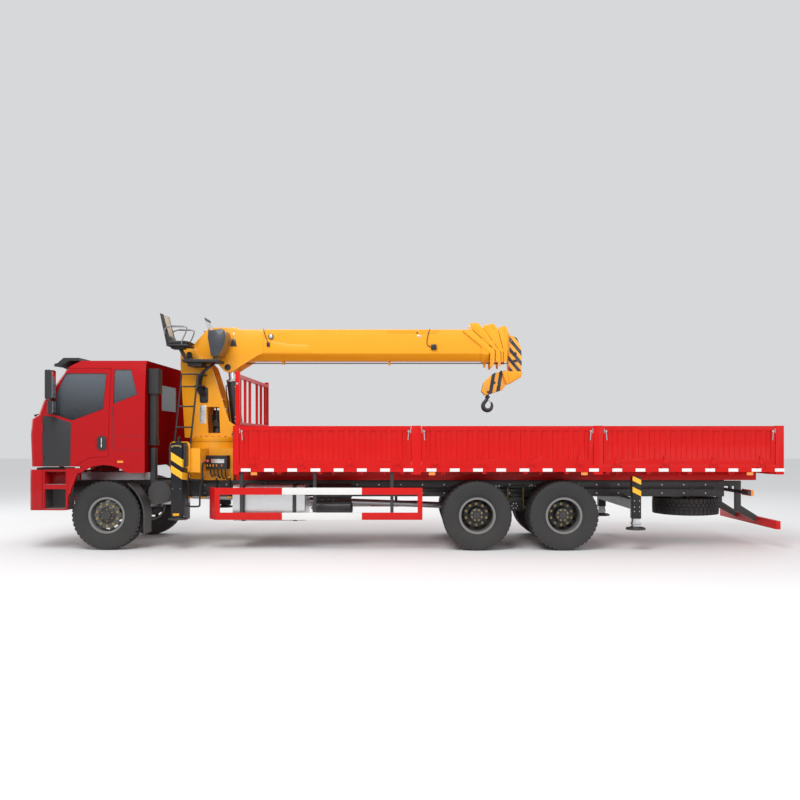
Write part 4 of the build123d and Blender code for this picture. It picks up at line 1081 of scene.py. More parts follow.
@dataclass
class Cab:
    """Cab shell, doors, windows, front, lamps, bumper and the inside."""

    flat: float = 1.24
    side_line: tuple = ((1.212, 1.24), (2.048, 1.24), (2.115, 1.236), (2.336, 1.226), (2.587, 1.21),
                        (2.873, 1.18), (2.965, 1.12))
    window: tuple = ((0.652, 2.12), (0.94, 2.026), (1.417, 2.206), (1.455, 2.762), (0.815, 2.762),
                     (0.69, 2.453))
    quarter: tuple = ((1.577, 2.82), (1.836, 2.82), (1.941, 2.43), (1.575, 2.285))
    corner: tuple = ((0.481, 1.312), (0.911, 1.315), (0.922, 1.992), (0.655, 2.082), (0.5, 2.104),
                     (0.481, 2.06))
    mirror_out: float = 1.262
    mirror_shift: float = 0.065
    visor_half: float = 1.06
    flare: tuple = ((0.858, 0.64), (0.86, 0.82), (0.905, 0.9), (0.945, 1.026), (1.01, 1.18), (1.095, 1.285),
                    (0.84, 1.285), (0.84, 0.64))

    def side_at(self, z: float) -> float:
        """Half width of the cab's side at a height.

        Args:
            z: the height.

        Returns:
            half the width there.
        """
        for (z0, y0), (z1, y1) in zip(self.side_line, self.side_line[1:]):
            if z0 <= z <= z1:
                return y0 + (y1 - y0) * (z - z0) / (z1 - z0)
        return self.flat

    def draped(self, outline: tuple, width: float, proud: float, index: int, filled: bool = False) -> Form:
        """A strip or panel along an outline that follows the cab's right side.

        Args:
            outline: points in u and z.
            width: the strip's width, outwards where negative.
            proud: how far it stands out.
            index: number of its finish.
            filled: whether it is a panel instead of a strip.

        Returns:
            the strip as a form.
        """
        part = bmesh.new()
        face = part.faces.new([part.verts.new(at(u, self.flat - 0.004, z)) for u, z in outline])
        if not filled:
            bmesh.ops.inset_individual(part, faces=[face], thickness=width, depth=0.0)
            bmesh.ops.delete(part, geom=[face], context="FACES")
            bmesh.ops.subdivide_edges(part, edges=part.edges[:], cuts=3, use_grid_fill=True)
        thicken(part, list(part.faces), Vector((0, 0.004 + proud, 0)))
        for vert in part.verts:
            vert.co.y += self.side_at(vert.co.z) - self.flat
        made = Form()
        made.index = index
        return made.take(part, 0.0015 if filled else 0.0)

    def door(self, side: Side) -> None:
        """One door with its corner panel, handle, window seal, mirrors and step light.

        Args:
            side: the truck's side.
        """
        form = Form().node("door_right")
        form.paint(1, lambda p: p.y > self.mirror_out)
        for vert in form.bm.verts:
            if vert.co.y > 1.29:
                vert.co.x += self.mirror_shift
        form.block((1.3008, 1.5042), (self.flat - 0.03, self.flat), (1.6308, 1.7232), 0.0)
        form.join(self.draped(self.corner, 0.0, 0.004, 1, filled=True))
        form.join(self.draped(self.window, -0.02, 0.004, 1))
        form.index = 1
        form.prism(rounded((1.33, 1.472), (1.568, 1.782), 0.045), (self.flat - 0.001, self.flat + 0.014))
        for u in (0.548, 0.585):
            form.bar(at(u, 1.248, 2.335), at(u, 1.248, 2.815), 0.012, 12)
        near = self.mirror_shift
        for z in (2.43, 2.57, 2.71):
            form.block((0.545 + near, 0.637 + near), (1.352, 1.4385), (z - 0.045, z + 0.045), 0.01)
        form.index = 2
        form.bar(at(1.401, self.flat + 0.02, 1.61), at(1.401, self.flat + 0.02, 1.752), 0.009, 16, 0.003)
        form.block((0.6475 + near, 0.6515 + near), (1.302, 1.428), (2.372, 2.775), 0.001)
        form.block((0.6475 + near, 0.6515 + near), (1.302, 1.408), (2.138, 2.31), 0.001)
        form.index = 1
        for z in (1.45, 1.9):
            form.block((0.476, 0.498), (1.236, 1.25), (z - 0.05, z + 0.05), 0.003)
        place(f"door_panel_{side.word}", form.flipped(side.sign), (CAB_PAINT, PLASTIC, CHROME),
              f"door_{side.word}", "cab_red", f"door_{side.word}")
        glass = Form().node(f"door_glass_{side.word}")
        place(f"door_window_{side.word}", glass, (GLASS,), f"door_{side.word}", "glass",
              f"door_glass_{side.word}")

    def shell(self) -> None:
        """Cab body with its quarter window seals, an upright panel seam, black strips along two side creases and a
        darker, matte rear wall, both painted shade, and side lamps.
        """
        form = Form().node("cab_shell")
        side = self.draped(self.quarter, -0.03, 0.004, 1)
        side.index = 2
        side.block((1.64, 1.734), (self.flat - 0.002, self.flat + 0.014), (1.366, 1.402), 0.006)
        side.index = 1
        # Thin black strips along the side's two horizontal creases: painted shade in the creases.
        for z in (1.785, 1.568):
            side.block((1.575, 2.04), (self.flat - 0.004, self.flat + 0.001), (z - 0.002, z + 0.002), 0.0005)
        side.block((1.565, 1.572), (self.flat - 0.006, self.flat + 0.0015), (1.6, 2.25), 0.001)
        form.join(side.mirrored())
        # Faces behind the line of the cab's rear wall take the darker red: painted shade.
        form.paint(3, lambda p: p.x > 2.058)
        place("cab_body", form, (CAB_PAINT, PLASTIC, AMBER, REAR_WALL_SHADE), "cab", "cab_red", "cab_shell")
        glass = Form().node("cab_glass")
        place("cab_windows", glass, (GLASS,), "cab", "glass", "cab_glass")

    def front(self) -> None:
        """Grille with bright bars, wipers, grab handles, visor with its lamps and the intake stack."""
        form = Form().node("grille")
        form.index = 1
        for z in (1.47, 1.9375):
            form.pipe(tuple(at(-0.006 + 0.3 * (y / 1.24) ** 2, y, z) for y in (-0.7, -0.35, 0.0, 0.35, 0.7)),
                      0.012)
        form.index = 0
        for y0, y1 in ((-0.85, -0.15), (-0.1, 0.6)):
            nose, tip = 0.185 * (y0 / 1.1) ** 2, 0.18 * (y1 / 1.1) ** 2
            form.bar(at(0.07 + nose, y0, 2.1), at(0.075 + nose, y0, 2.13), 0.02, 12)
            form.bar(at(0.075 + nose, y0, 2.125), at(0.142 + tip, y1, 2.205), 0.008, 8)
            form.bar(at(0.105 + tip, y1 - 0.35, 2.165), at(0.15 + tip, y1 + 0.28, 2.235), 0.007, 6)
        place("front_grille", form, (PLASTIC, CHROME), "cab", "black_plastic", "grille")
        form = Form().node("cab_trim")
        for vert in form.bm.verts:
            if vert.co.z > 2.87 and vert.co.x + HALF < 1.2:
                vert.co.y *= 1.13 / self.visor_half
                if abs(vert.co.y) > 0.9:
                    vert.co.x -= 0.13 * (abs(vert.co.y) - 0.9) / 0.23
        for i in range(9):
            form.block((2.078, 2.224), (-1.1125, -1.108), (2.485 + i * 0.038, 2.503 + i * 0.038), 0.002)
            form.block((2.233, 2.2365), (-1.08, -0.93), (2.485 + i * 0.038, 2.503 + i * 0.038), 0.001)
        for i in range(5):
            form.block((2.068, 2.192), (-1.084, -0.926), (1.642 + i * 0.02, 1.652 + i * 0.02), 0.003)
        form.index = 1
        for y in (-0.82, -0.28, 0.28, 0.82):
            form.block((0.565 + 0.24 * y * y, 0.6 + 0.24 * y * y), (y - 0.045, y + 0.045), (2.935, 2.965), 0.008)
        place("visor_and_stack", form, (PLASTIC, CLEAR), "cab", "black_plastic", "cab_trim")

    def bumper(self) -> None:
        """Bumper with treaded steps, fog lamps, low grille, bare plate holder and a black block standing for painted
        shade under the cab; and the lamps.
        """
        form = Form().node("bumper", 0.003)
        form.paint(1, lambda p: 0.49 < p.x < 0.86 and 0.94 < abs(p.y) < 1.175 and 0.63 < p.z < 1.03)
        extra = Form()
        extra.index = 2
        for z in (1.031, 0.655):
            extra.block((0.515, 0.835), (0.985, 1.232), (z, z + 0.004), 0.001)
        extra.index = 1
        for i in range(5):
            extra.block((0.045, 0.06), (0.0, 0.42), (0.775 + i * 0.045, 0.795 + i * 0.045), 0.003)
        extra.block((-0.004, 0.012), (0.0, 0.24), (1.02, 1.15), 0.003)
        extra.block((0.068, 0.11), (0.0, 0.33), (1.185, 1.215))
        extra.index = 0
        extra.prism(self.flare, (1.172, 1.236), 0.006)
        extra.index = 1
        # A black block in the gap under the cab, in front of the wheel: painted shade.
        extra.block((0.36, 0.84), (0.9, 1.18), (1.225, 1.292))
        form.join(extra.mirrored())
        place("front_bumper", form, (CAB_PAINT, PLASTIC, TREAD_PLATE), "chassis", "cab_red", "bumper")
        form = Form().node("lamps")
        form.paint(1, lambda p: p.x > 11.0 and abs(p.y) > 1.02)
        form.paint(2, lambda p: p.x > 11.0 and abs(p.y) <= 1.02)
        rear = Form()
        for rear.index, y in ((2, (0.825, 0.93)), (1, (1.045, 1.175)), (0, (0.935, 1.04))):
            rear.block((11.53, 11.545), y, (0.852, 0.938), 0.006)
        form.join(rear.mirrored())
        place("truck_lamps", form, (CLEAR, AMBER, RUBY), "chassis", "lamp", "lamps")

    def inside(self) -> None:
        """Dashboard, steering wheel and seats."""
        form = Form()
        form.prism(((0.33, 1.76), (0.62, 1.7), (0.7, 1.9), (0.64, 2.06), (0.42, 2.08), (0.35, 2.06)),
                   (-1.13, 1.13), 0.02, 3)
        form.block((0.6, 0.72), (-0.86, -0.38), (2.02, 2.1), 0.025, 3)
        form.block((0.5, 0.56), (-0.06, 0.06), (1.486, 1.76), 0.01)
        for y in (-1.0, -0.22, 0.22, 1.0):
            form.block((0.635, 0.685), (y - 0.09, y + 0.09), (1.955, 2.015), 0.01)
        form.bar(at(0.56, -0.62, 1.95), at(0.8, -0.62, 2.06), 0.024, 20)
        hub = at(0.8, -0.62, 2.06)
        tilt = Matrix.Translation(hub) @ Matrix.Rotation(math.radians(60), 4, "Y")
        grip = [(0.22 + 0.016 * math.cos(t * math.tau / 10), 0.0, 0.016 * math.sin(t * math.tau / 10))
                for t in range(10)]
        part = spun(grip, True, 40, (0, 0, 1))
        bmesh.ops.recalc_face_normals(part, faces=part.faces)
        bmesh.ops.transform(part, matrix=tilt, verts=part.verts)
        form.take(part)
        for turn in (30, 150, 270):
            part = bmesh.new()
            bmesh.ops.create_cube(part, size=1.0, matrix=Matrix.Translation((0.11, 0, 0))
                                  @ Matrix.Diagonal((0.21, 0.036, 0.014, 1.0)))
            bmesh.ops.transform(part, matrix=tilt @ Matrix.Rotation(math.radians(turn), 4, "Z"), verts=part.verts)
            form.take(part, 0.004)
        form.bar(hub - tilt.to_3x3() @ Vector((0, 0, 0.02)), hub + tilt.to_3x3() @ Vector((0, 0, 0.03)), 0.06, 24,
                 0.006)
        for y in (-0.62, 0.62):
            form.block((1.08, 1.48), (y - 0.21, y + 0.21), (1.361, 1.62), 0.02)
        place("cab_lining_parts", form, (INTERIOR,), "cab", "interior", "cab_interior")
        for side in Side:
            y = 0.62 * side.sign
            cushion(f"cab_seat_{side.word}", ((1.045, 1.535), (y - 0.245, y + 0.245), (1.625, 1.765)), 0.0,
                    CAB_FABRIC, "cab", "seat")
            cushion(f"cab_back_{side.word}", ((1.455, 1.575), (y - 0.24, y + 0.24), (1.76, 2.36)), 9.0,
                    CAB_FABRIC, "cab", "seat")

    def build(self) -> None:
        """Make the whole cab."""
        for side in Side:
            self.door(side)
        self.shell()
        self.front()
        self.bumper()
        self.inside()


def cushion(name: str, box: tuple, lean: float, finish: Finish, body: str, slot: str) -> None:
    """A crowned, channelled seat pad.

    Args:
        name: the piece's name.
        box: low and high u, y and z.
        lean: how far it leans back, in degrees.
        finish: its cloth.
        body: the CAD body that it rides on.
        slot: the record's material slot.
    """
    (u0, u1), (y0, y1), (z0, z1) = box
    size = Vector((u1 - u0, y1 - y0, z1 - z0))
    part = bmesh.new()
    bmesh.ops.create_cube(part, size=2.0)
    bmesh.ops.subdivide_edges(part, edges=part.edges[:], cuts=11, use_grid_fill=True)
    thin = min(range(3), key=lambda axis: size[axis])
    long = [axis for axis in range(3) if axis != thin]
    for vert in part.verts:
        place_in = vert.co.copy()
        crown = 1.0
        for axis in long:
            crown *= 1.0 - 0.42 * abs(place_in[axis]) ** 4
        channel = 0.1 * math.exp(-((abs(place_in[long[0]]) - 0.62) / 0.05) ** 2)
        channel += 0.08 * math.exp(-((place_in[long[0]]) / 0.05) ** 2)
        vert.co[thin] = place_in[thin] * (crown - channel)
        for axis in long:
            other = long[0] if axis == long[1] else long[1]
            vert.co[axis] = place_in[axis] * (1.0 - 0.05 * (1.0 - place_in[other] ** 2) - 0.03 * place_in[thin] ** 2)
    turn = Matrix.Rotation(math.radians(lean), 4, "Y")
    middle = at((u0 + u1) / 2, (y0 + y1) / 2, (z0 + z1) / 2)
    bmesh.ops.transform(part, matrix=Matrix.Translation(middle) @ turn @ Matrix.Diagonal((*(size / 2), 1.0)),
                        verts=part.verts)
    bmesh.ops.recalc_face_normals(part, faces=part.faces)
    piece = place(name, Form().take(part), (finish,), body, slot)
    for polygon in piece.data.polygons:
        polygon.use_smooth = True


# Cargo body


@dataclass
class CargoBody:
    """Deck, rails, gates with their hinges and latches, headboard and reflective strips."""

    half: float = 1.25
    axis_y: float = 1.262
    axis_z: float = 1.336
    hinge_shares: tuple = (0.0775, 0.3585, 0.641, 0.92)
    markers: tuple = (3.76, 6.524, 8.887, 11.457)
    tie_hooks: tuple = (4.06, 4.99, 5.79, 6.67, 7.59, 8.21, 9.4, 10.37, 11.2)
    strip_z: tuple = (1.232, 1.282)
    strip_pitch: float = 0.36

    def gates(self) -> list:
        """Name, both ends and hinge places of each gate on a side, from the CAD.

        Returns:
            one row for each gate.
        """
        rows = []
        for name in ("1", "2", "3"):
            low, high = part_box(f"gate_right_{name}")
            u0, u1 = low[0] + HALF, high[0] + HALF
            rows.append((name, u0, u1, [u0 + share * (u1 - u0) for share in self.hinge_shares]))
        return rows

    def gate(self, side: Side, name: str, u0: float, u1: float, hinges: list) -> None:
        """One side gate with its round hinge plates and end latches.

        Args:
            side: the truck's side.
            name: the gate's number.
            u0: its front end.
            u1: its rear end.
            hinges: u of its hinges.
        """
        form = Form().node(f"gate_right_{name}", 0.002)
        for u in hinges:
            dome = [(u + 0.048 * math.cos(math.pi * i / 12), 1.352 + 0.048 * math.sin(math.pi * i / 12))
                    for i in range(13)]
            form.prism(dome, (self.half - 0.001, self.half + 0.011))
            form.bolts([at(u, self.half + 0.0075, 1.445)], OUT, 0.01, 0.004)
        form.index = 1
        for u, way in ((u0 + 0.035, 1), (u1 - 0.035, -1)):
            form.bar(at(u, self.half, 1.86), at(u, self.half + 0.016, 1.86), 0.016, 16)
            form.bar(at(u, self.half + 0.012, 1.86), at(u + 0.012 * way, self.half + 0.014, 1.72), 0.008, 10)
            form.bar(at(u - 0.03 * way, self.half + 0.006, 1.905), at(u - 0.03 * way, self.half + 0.006, 1.83),
                     0.007, 10)
        form.index = 0
        form.block((u0 + 0.004, u1 - 0.004), (self.half - 0.066, self.half + 0.004), (1.928, 1.938), 0.003)
        body = f"gate_{side.word}_{name}"
        place(f"{body}_panel", form.flipped(side.sign), (BODY_PAINT, STEEL), body, "body_red", body)

    def tail(self) -> None:
        """Tail gate with its hinges and latches."""
        form = Form().node("gate_tail", 0.002)
        face = 11.968
        for y in (-0.946, -0.355, 0.355, 0.946):
            form.bolts([at(face + 0.006, y, z) for z in (1.4, 1.445)], Vector((1, 0, 0)), 0.01, 0.003)
        form.index = 1
        for y in (-1.12, 1.12):
            form.bar(at(face, y, 1.86), at(face + 0.01, y, 1.86), 0.016, 16)
            form.bar(at(face + 0.005, y, 1.86), at(face + 0.005, y * 0.99, 1.72), 0.007, 10)
        place("tail_gate_panel", form, (BODY_PAINT, STEEL), "gate_tail", "body_red", "gate_tail")

    def deck(self) -> None:
        """Deck with hinge eyes, tie hooks, side markers and reflective strips."""
        form = Form().node("cargo_deck", 0.002)
        form.paint(3, lambda p: abs(p.y) < 1.19 and 1.3415 < p.z < 1.3425)
        side = Form()
        for _, u0, u1, hinges in self.gates():
            for u in hinges:
                for shift in (-0.06, 0.06):
                    side.block((u + shift - 0.007, u + shift + 0.007), (self.half - 0.002, self.axis_y + 0.006),
                               (1.286, self.axis_z - 0.004), 0.003)
        for u in self.tie_hooks:
            side.block((u - 0.006, u + 0.006), (1.205, 1.246), (1.184, 1.229), 0.003)
        form.join(side.mirrored())
        marks = Form()
        marks.index = 2
        for u in self.markers:
            marks.block((u - 0.05, u + 0.05), (self.half - 0.02, self.half - 0.002), (1.176, 1.222), 0.006)
            marks.block((u - 0.02, u + 0.02), (self.half - 0.03, self.half - 0.018), (1.19, 1.23), 0.002)
        marks.index = 1
        count = int((11.9 - 3.52) / self.strip_pitch)
        for i in range(count + 1):
            u = 3.56 + i * self.strip_pitch
            marks.block((u, u + 0.15), (self.half, self.half + 0.0015), self.strip_z, 0.0005, 1)
        for i in range(3):
            y = 0.16 + i * 0.38
            marks.block((11.979, 11.9804), (y, y + 0.15), self.strip_z, 0.0, 1)
        form.join(marks.mirrored())
        place("cargo_bed", form, (BODY_PAINT, REFLECTIVE, AMBER, DECK_PLANKS), "chassis", "body_red",
              "cargo_deck")
        form = Form().node("headboard", 0.003)
        form.index = 1
        for y in (-1.185, 1.185):
            form.bolts([at(3.465, y, z) for z in (2.02, 2.08, 2.55)], Vector((-1, 0, 0)), 0.016, 0.012)
            form.bolts([at(3.4975, y * 1.0296, 2.6)], Vector((0, math.copysign(1, y), 0)), 0.02, 0.014)
        place("guard_frame", form, (BODY_PAINT, STEEL), "chassis", "body_red", "headboard")

    def build(self) -> None:
        """Make the deck and all gates."""
        for side in Side:
            for name, u0, u1, hinges in self.gates():
                self.gate(side, name, u0, u1, hinges)
        self.tail()
        self.deck()


# Outriggers


@dataclass
class Outriggers:
    """Front beams with banded legs, and all four jacks with their feet."""

    front: tuple = ((Side.LEFT, 2.556), (Side.RIGHT, 2.74))
    leg_y: tuple = (1.045, 1.235)
    narrower: float = 0.032
    flange_z: tuple = (1.215, 1.697)
    jack_y: float = 1.14
    rear_u: float = 9.708
    rear_y: float = 1.152
    rear_foot: float = 0.325
    collar: float = 0.066

    def beam(self, side: Side, u: float) -> None:
        """A beam, yellow inside its housing, with its end flange and the banded leg.

        Args:
            side: the truck's side.
            u: the beam's middle.
        """
        word = side.word
        form = Form().node(f"front_beam_{word}", 0.004).flipped(side.sign)
        middle = u - HALF
        for vert in form.bm.verts:
            if vert.co.y > self.leg_y[0] + 0.0045 and abs(vert.co.x - middle) > 0.1:
                vert.co.x += math.copysign(self.narrower, middle - vert.co.x)
        form.paint(1, lambda p: p.y < self.leg_y[0] - 0.003)
        form.index = 1
        form.prism(rounded((u - 0.162, u + 0.158), self.flange_z, 0.06), (1.028, self.leg_y[0] + 0.002))
        form.block((u - 0.055, u + 0.042), (self.leg_y[1] - 0.002, self.leg_y[1] + 0.003), (0.545, 0.582), 0.001)
        form.index = 2
        form.bolts([at(u + shift, self.leg_y[1], 1.622) for shift in (-0.066, 0.066)], OUT, 0.017)
        form.block((u - 0.052, u + 0.052), (self.leg_y[1] - 0.002, self.leg_y[1] + 0.01), (1.622, 1.644), 0.003)
        form.bolts([at(u + shift, self.leg_y[1], 0.966) for shift in (-0.06, 0.06)], OUT, 0.008, 0.004)
        form.bolts([at(u + shift, 1.028, z) for shift in (-0.125, 0.121) for z in (1.26, 1.4, 1.52, 1.65)],
                   Vector((0, -1, 0)), 0.012)
        form.index = 3
        form.prism(rounded((u - 0.134, u + 0.134), (1.285, 1.668), 0.055), (1.044, 1.185), 0.006)
        form.bar(at(u, 1.14, 1.68), at(u, 1.14, 1.706), 0.045, 20, 0.004)
        form.pipe((at(u, 1.14, 1.7), at(u, 1.14, 1.755), at(u, 1.1, 1.775), at(u, 1.05, 1.76),
                   at(u, 1.036, 1.69)), 0.011)
        finish = SLATE if side is Side.LEFT else SLATE_RIGHT
        place(f"front_leg_{word}", form.flipped(side.sign), (finish, YELLOW_PAINT, GOLD, BLACK_PAINT),
              f"front_beam_{word}", "leg_slate", f"front_beam_{word}")

    def front_jack(self, side: Side, u: float) -> None:
        """One front inner leg with its ball socket.

        Args:
            side: the truck's side.
            u: the leg's middle.
        """
        name = f"front_jack_{side.word}"
        form = Form().node(name, 0.002).flipped(side.sign)
        form.paint(1, lambda p: p.z < 0.5095)
        form.index = 1
        form.lathe(((0.0, 0.0), (0.095, 0.0), (0.086, 0.012), (0.072, 0.022), (0.0, 0.022)),
                   at(u, self.jack_y, 0.507), Axis.ALONG_Z, 32)
        place(f"front_jack_leg_{side.word}", form.flipped(side.sign), (STEEL, BLACK_PAINT), name, "rod_chrome",
              name)

    def rear_jack(self, side: Side) -> None:
        """One rear inner leg with its ball socket, ribbed foot and collar.

        Args:
            side: the truck's side.
        """
        name, u, y, foot, collar = f"rear_jack_{side.word}", self.rear_u, self.rear_y, self.rear_foot, self.collar
        form = Form().node(name, 0.002).flipped(side.sign)
        form.paint(1, lambda p: p.z < foot + 0.029)
        form.index = 1
        form.lathe(((0.0, 0.0), (0.095, 0.0), (0.088, 0.012), (0.074, 0.026), (0.0, 0.026)),
                   at(u, y, foot + 0.027), Axis.ALONG_Z, 32)
        for turn in range(8):
            way = Vector((math.cos(turn * math.pi / 4 + 0.39), math.sin(turn * math.pi / 4 + 0.39), 0))
            form.bar(at(u, y, foot + 0.034) + way * 0.08, at(u, y, foot + 0.03) + way * 0.142, 0.006, 6)
        form.index = 0
        form.block((u - collar, u + collar), (y - collar, y + collar), (foot + 0.075, foot + 0.115))
        place(f"rear_jack_leg_{side.word}", form.flipped(side.sign), (STEEL, BLACK_PAINT), name, "rod_chrome",
              name)

    def build(self) -> None:
        """Make every outrigger."""
        for side, u in self.front:
            self.beam(side, u)
            self.front_jack(side, u)
        for side in Side:
            self.rear_jack(side)


# Crane


@dataclass
class Crane:
    """Base, column, boom with its rope, hook block, hook and lift cylinder."""

    slew: float = 2.85
    plate: float = 0.26
    side: float = 0.2
    root: float = 0.214
    top: float = 3.583
    root_cut: tuple = ((2.455, 3.238), (2.797, 3.619))
    rope_z: float = 3.03
    rope: tuple = (("boom", 3.235, 7.45, 0.008), ("boom_section_2", 4.2, 7.58, 0.0077),
                   ("boom_section_3", 4.3, 7.67, 0.0074), ("boom_section_4", 4.38, 7.76, 0.0071),
                   ("boom_section_5", 4.5, 7.85, 0.0068))
    doubler: tuple = ((3.711, 3.44), (3.9, 3.38), (4.15, 3.335), (4.45, 3.32), (4.505, 3.29), (4.51, 3.19),
                      (3.711, 3.19))
    patch: tuple = ((5.775, 3.575), (5.81, 3.522), (6.61, 3.517), (6.67, 3.575))
    mouth: tuple = ((7.056, 3.556), (7.195, 3.59), (7.6, 3.215), (7.592, 3.035), (7.556, 2.945), (7.52, 2.945),
                    (7.518, 3.178))
    fans: tuple = (((7.177, 3.688), (7.312, 3.689), (7.392, 3.606), (7.694, 3.187), (7.694, 2.955), (7.664, 2.955),
                    (7.652, 3.035), (7.61, 3.035), (7.612, 3.225), (7.207, 3.598)),
                   ((7.405, 3.65), (7.54, 3.676), (7.574, 3.676), (7.636, 3.608), (7.734, 3.237), (7.734, 3.035),
                    (7.706, 3.035), (7.706, 3.187), (7.402, 3.606)),
                   ((7.657, 3.606), (7.745, 3.638), (7.778, 3.638), (7.824, 3.558), (7.812, 3.457), (7.805, 3.035),
                    (7.746, 3.035), (7.746, 3.237), (7.648, 3.606)))
    bracket: tuple = ((7.815, 2.872), (8.034, 2.884), (8.076, 2.854), (8.05, 2.812), (8.0, 2.762), (7.86, 2.69))
    ties: tuple = (2.53, 2.76, 2.98, 3.2)
    tie_y: float = 0.462
    luff_pin: tuple = (2.478, 3.154)
    rod_pin: tuple = (3.108, 2.945)
    barrel_pin: tuple = (3.235, 1.86)
    head_pin: tuple = (7.7243, 2.8931)
    block_pin: tuple = (7.6, 2.7)

    def base(self) -> None:
        """Base with its ring seam, ladder, step, tie-down studs and the control box with its levers."""
        form = Form().node("crane_base", 0.003)
        form.without(lambda p: p.y < -0.87 and p.z < 1.2109 and 2.5 < p.x < 2.9)
        form.without(lambda p: -0.6 < p.y < -0.54 and 1.4702 < p.z < 1.6 and p.x > 2.86)
        form.paint(1, lambda p: p.y < -0.665 and p.z > 1.585)
        form.paint(1, lambda p: 2.85 < p.x < 3.21 and -0.65 < p.y < -0.432 and 1.24 < p.z < 1.471)
        form.index = 1
        form.lathe(((0.424, 0.0), (0.4318, 0.0), (0.4318, -0.0045), (0.424, -0.0045)), at(self.slew, 0, 1.6955),
                   Axis.ALONG_Z, 72)
        for u in self.ties:
            for sign in (-1, 1):
                form.index = 1
                form.bar(at(u, self.tie_y * sign, 1.13), at(u, self.tie_y * sign, 0.752), 0.011, 10)
                form.index = 2
                form.bolts([at(u, self.tie_y * sign, z) for z in (0.752, 1.122)], UP, 0.019, 0.018)
                form.index = 0
                form.block((u - 0.03, u + 0.03), span(0.425, 0.488, sign), (1.098, 1.122), 0.003)
                form.block((u - 0.035, u + 0.035), span(0.35, 0.488, sign), (0.768, 0.79), 0.003)
        for y in (-0.98, 0.98):
            form.block((2.44, 2.86), (y - 0.022, y + 0.022), (1.584, 1.592), 0.003)
            form.block((2.44, 2.45), (y - 0.022, y + 0.022), (1.205, 1.592), 0.003)
            form.block((2.85, 2.86), (y - 0.022, y + 0.022), (1.205, 1.592), 0.003)
        for u, y in ((2.74, -0.998), (2.556, 0.998)):
            form.block((u - 0.083, u + 0.083), (y - 0.006, y + 0.006), (1.234, 1.56), 0.002)
        form.index = 1
        form.pipe((at(2.634, -0.9, 1.215), at(2.634, -0.9, 0.9), at(2.634, -0.9, 0.7), at(2.636, -0.9, 0.664),
                   at(2.73, -0.9, 0.66), at(2.824, -0.9, 0.664), at(2.826, -0.9, 0.7), at(2.828, -0.9, 0.9),
                   at(2.832, -0.9, 1.02), at(2.866, -0.9, 1.06), at(2.868, -0.9, 1.2), at(2.868, -0.88, 1.34),
                   at(2.86, -0.76, 1.36), at(2.862, -0.635, 1.36)), 0.0145)
        form.bar(at(2.634, -0.9, 1.09), at(2.866, -0.9, 1.09), 0.012, 12)
        form.index = 3
        form.block((2.941, 3.152), (-0.6425, -0.639), (1.349, 1.412), 0.0005)
        form.index = 4
        form.bar(at(2.884, -0.639, 1.38), at(2.884, -0.664, 1.38), 0.024, 20, 0.004)
        form.index = 1
        form.block((2.86, 3.196), (-0.65, -0.638), (1.436, 1.466))
        for i, place_u in enumerate((2.884, 2.93, 2.98, 3.035, 3.118)):
            u = 2.89 + 0.062 * i
            form.index = 5 if i == 4 else 0
            form.bar(at(place_u, -0.656, 1.29), at(place_u, -0.672, 1.322), 0.0105, 12, 0.004)
            form.index = 1
            form.bar(at(place_u, -0.638, 1.29), at(place_u, -0.658, 1.29), 0.012, 12, 0.002)
            form.pipe((at(u, -0.5, 1.255), at(u, -0.51, 1.2), at(u + 0.01, -0.5, 1.15 - 0.012 * i),
                       at(u + 0.02, -0.46, 1.12 - 0.012 * i), at(u + 0.03, -0.42, 1.12 - 0.012 * i)), 0.0095)
        place("crane_pedestal", form, (YELLOW_PAINT, BLACK_PAINT, STEEL, ALLOY, PINK, AMBER), "chassis",
              "crane_yellow", "crane_base")

    def column(self) -> None:
        """Column with its pin keepers, slew motor, foot bolts, bare plate, a yellow-rimmed black sheet standing for
        an opening's shaded inside (painted shade), and hoses.
        """
        form = Form().node("column", 0.004)
        form.paint(1, lambda p: abs(p.y) > self.plate + 0.001 and p.z > 1.8)
        form.paint(1, lambda p: math.hypot(p.x - 2.89, p.y) < 0.087 and 1.778 < p.z < 2.24)
        form.index = 2
        for i in range(24):
            turn = math.tau * (i + 0.5) / 24
            place_at = at(self.slew, 0, 1.775) + 0.398 * Vector((math.cos(turn), math.sin(turn), 0))
            form.bolts([place_at], UP, 0.015, 0.014)
        for u, low in ((self.luff_pin[0], 3.085), (self.barrel_pin[0], 1.8)):
            for sign in (-1, 1):
                form.index = 2
                form.bolts([at(u + shift, self.plate * sign, low) for shift in (-0.028, 0.028)],
                           Vector((0, sign, 0)), 0.009, 0.016)
                form.index = 1
                form.block((u - 0.05, u + 0.05), span(self.plate - 0.002, self.plate + 0.008, sign),
                           (low - 0.016, low + 0.04), 0.002)
        form.block((2.835, 2.945), (-0.125, -0.05), (1.95, 2.06), 0.008)
        form.bar(at(2.89, 0, 2.12), at(2.89, 0, 2.15), 0.097, 24, 0.004)
        form.bar(at(2.89, 0, 1.775), at(2.89, 0, 1.81), 0.115, 24, 0.004)
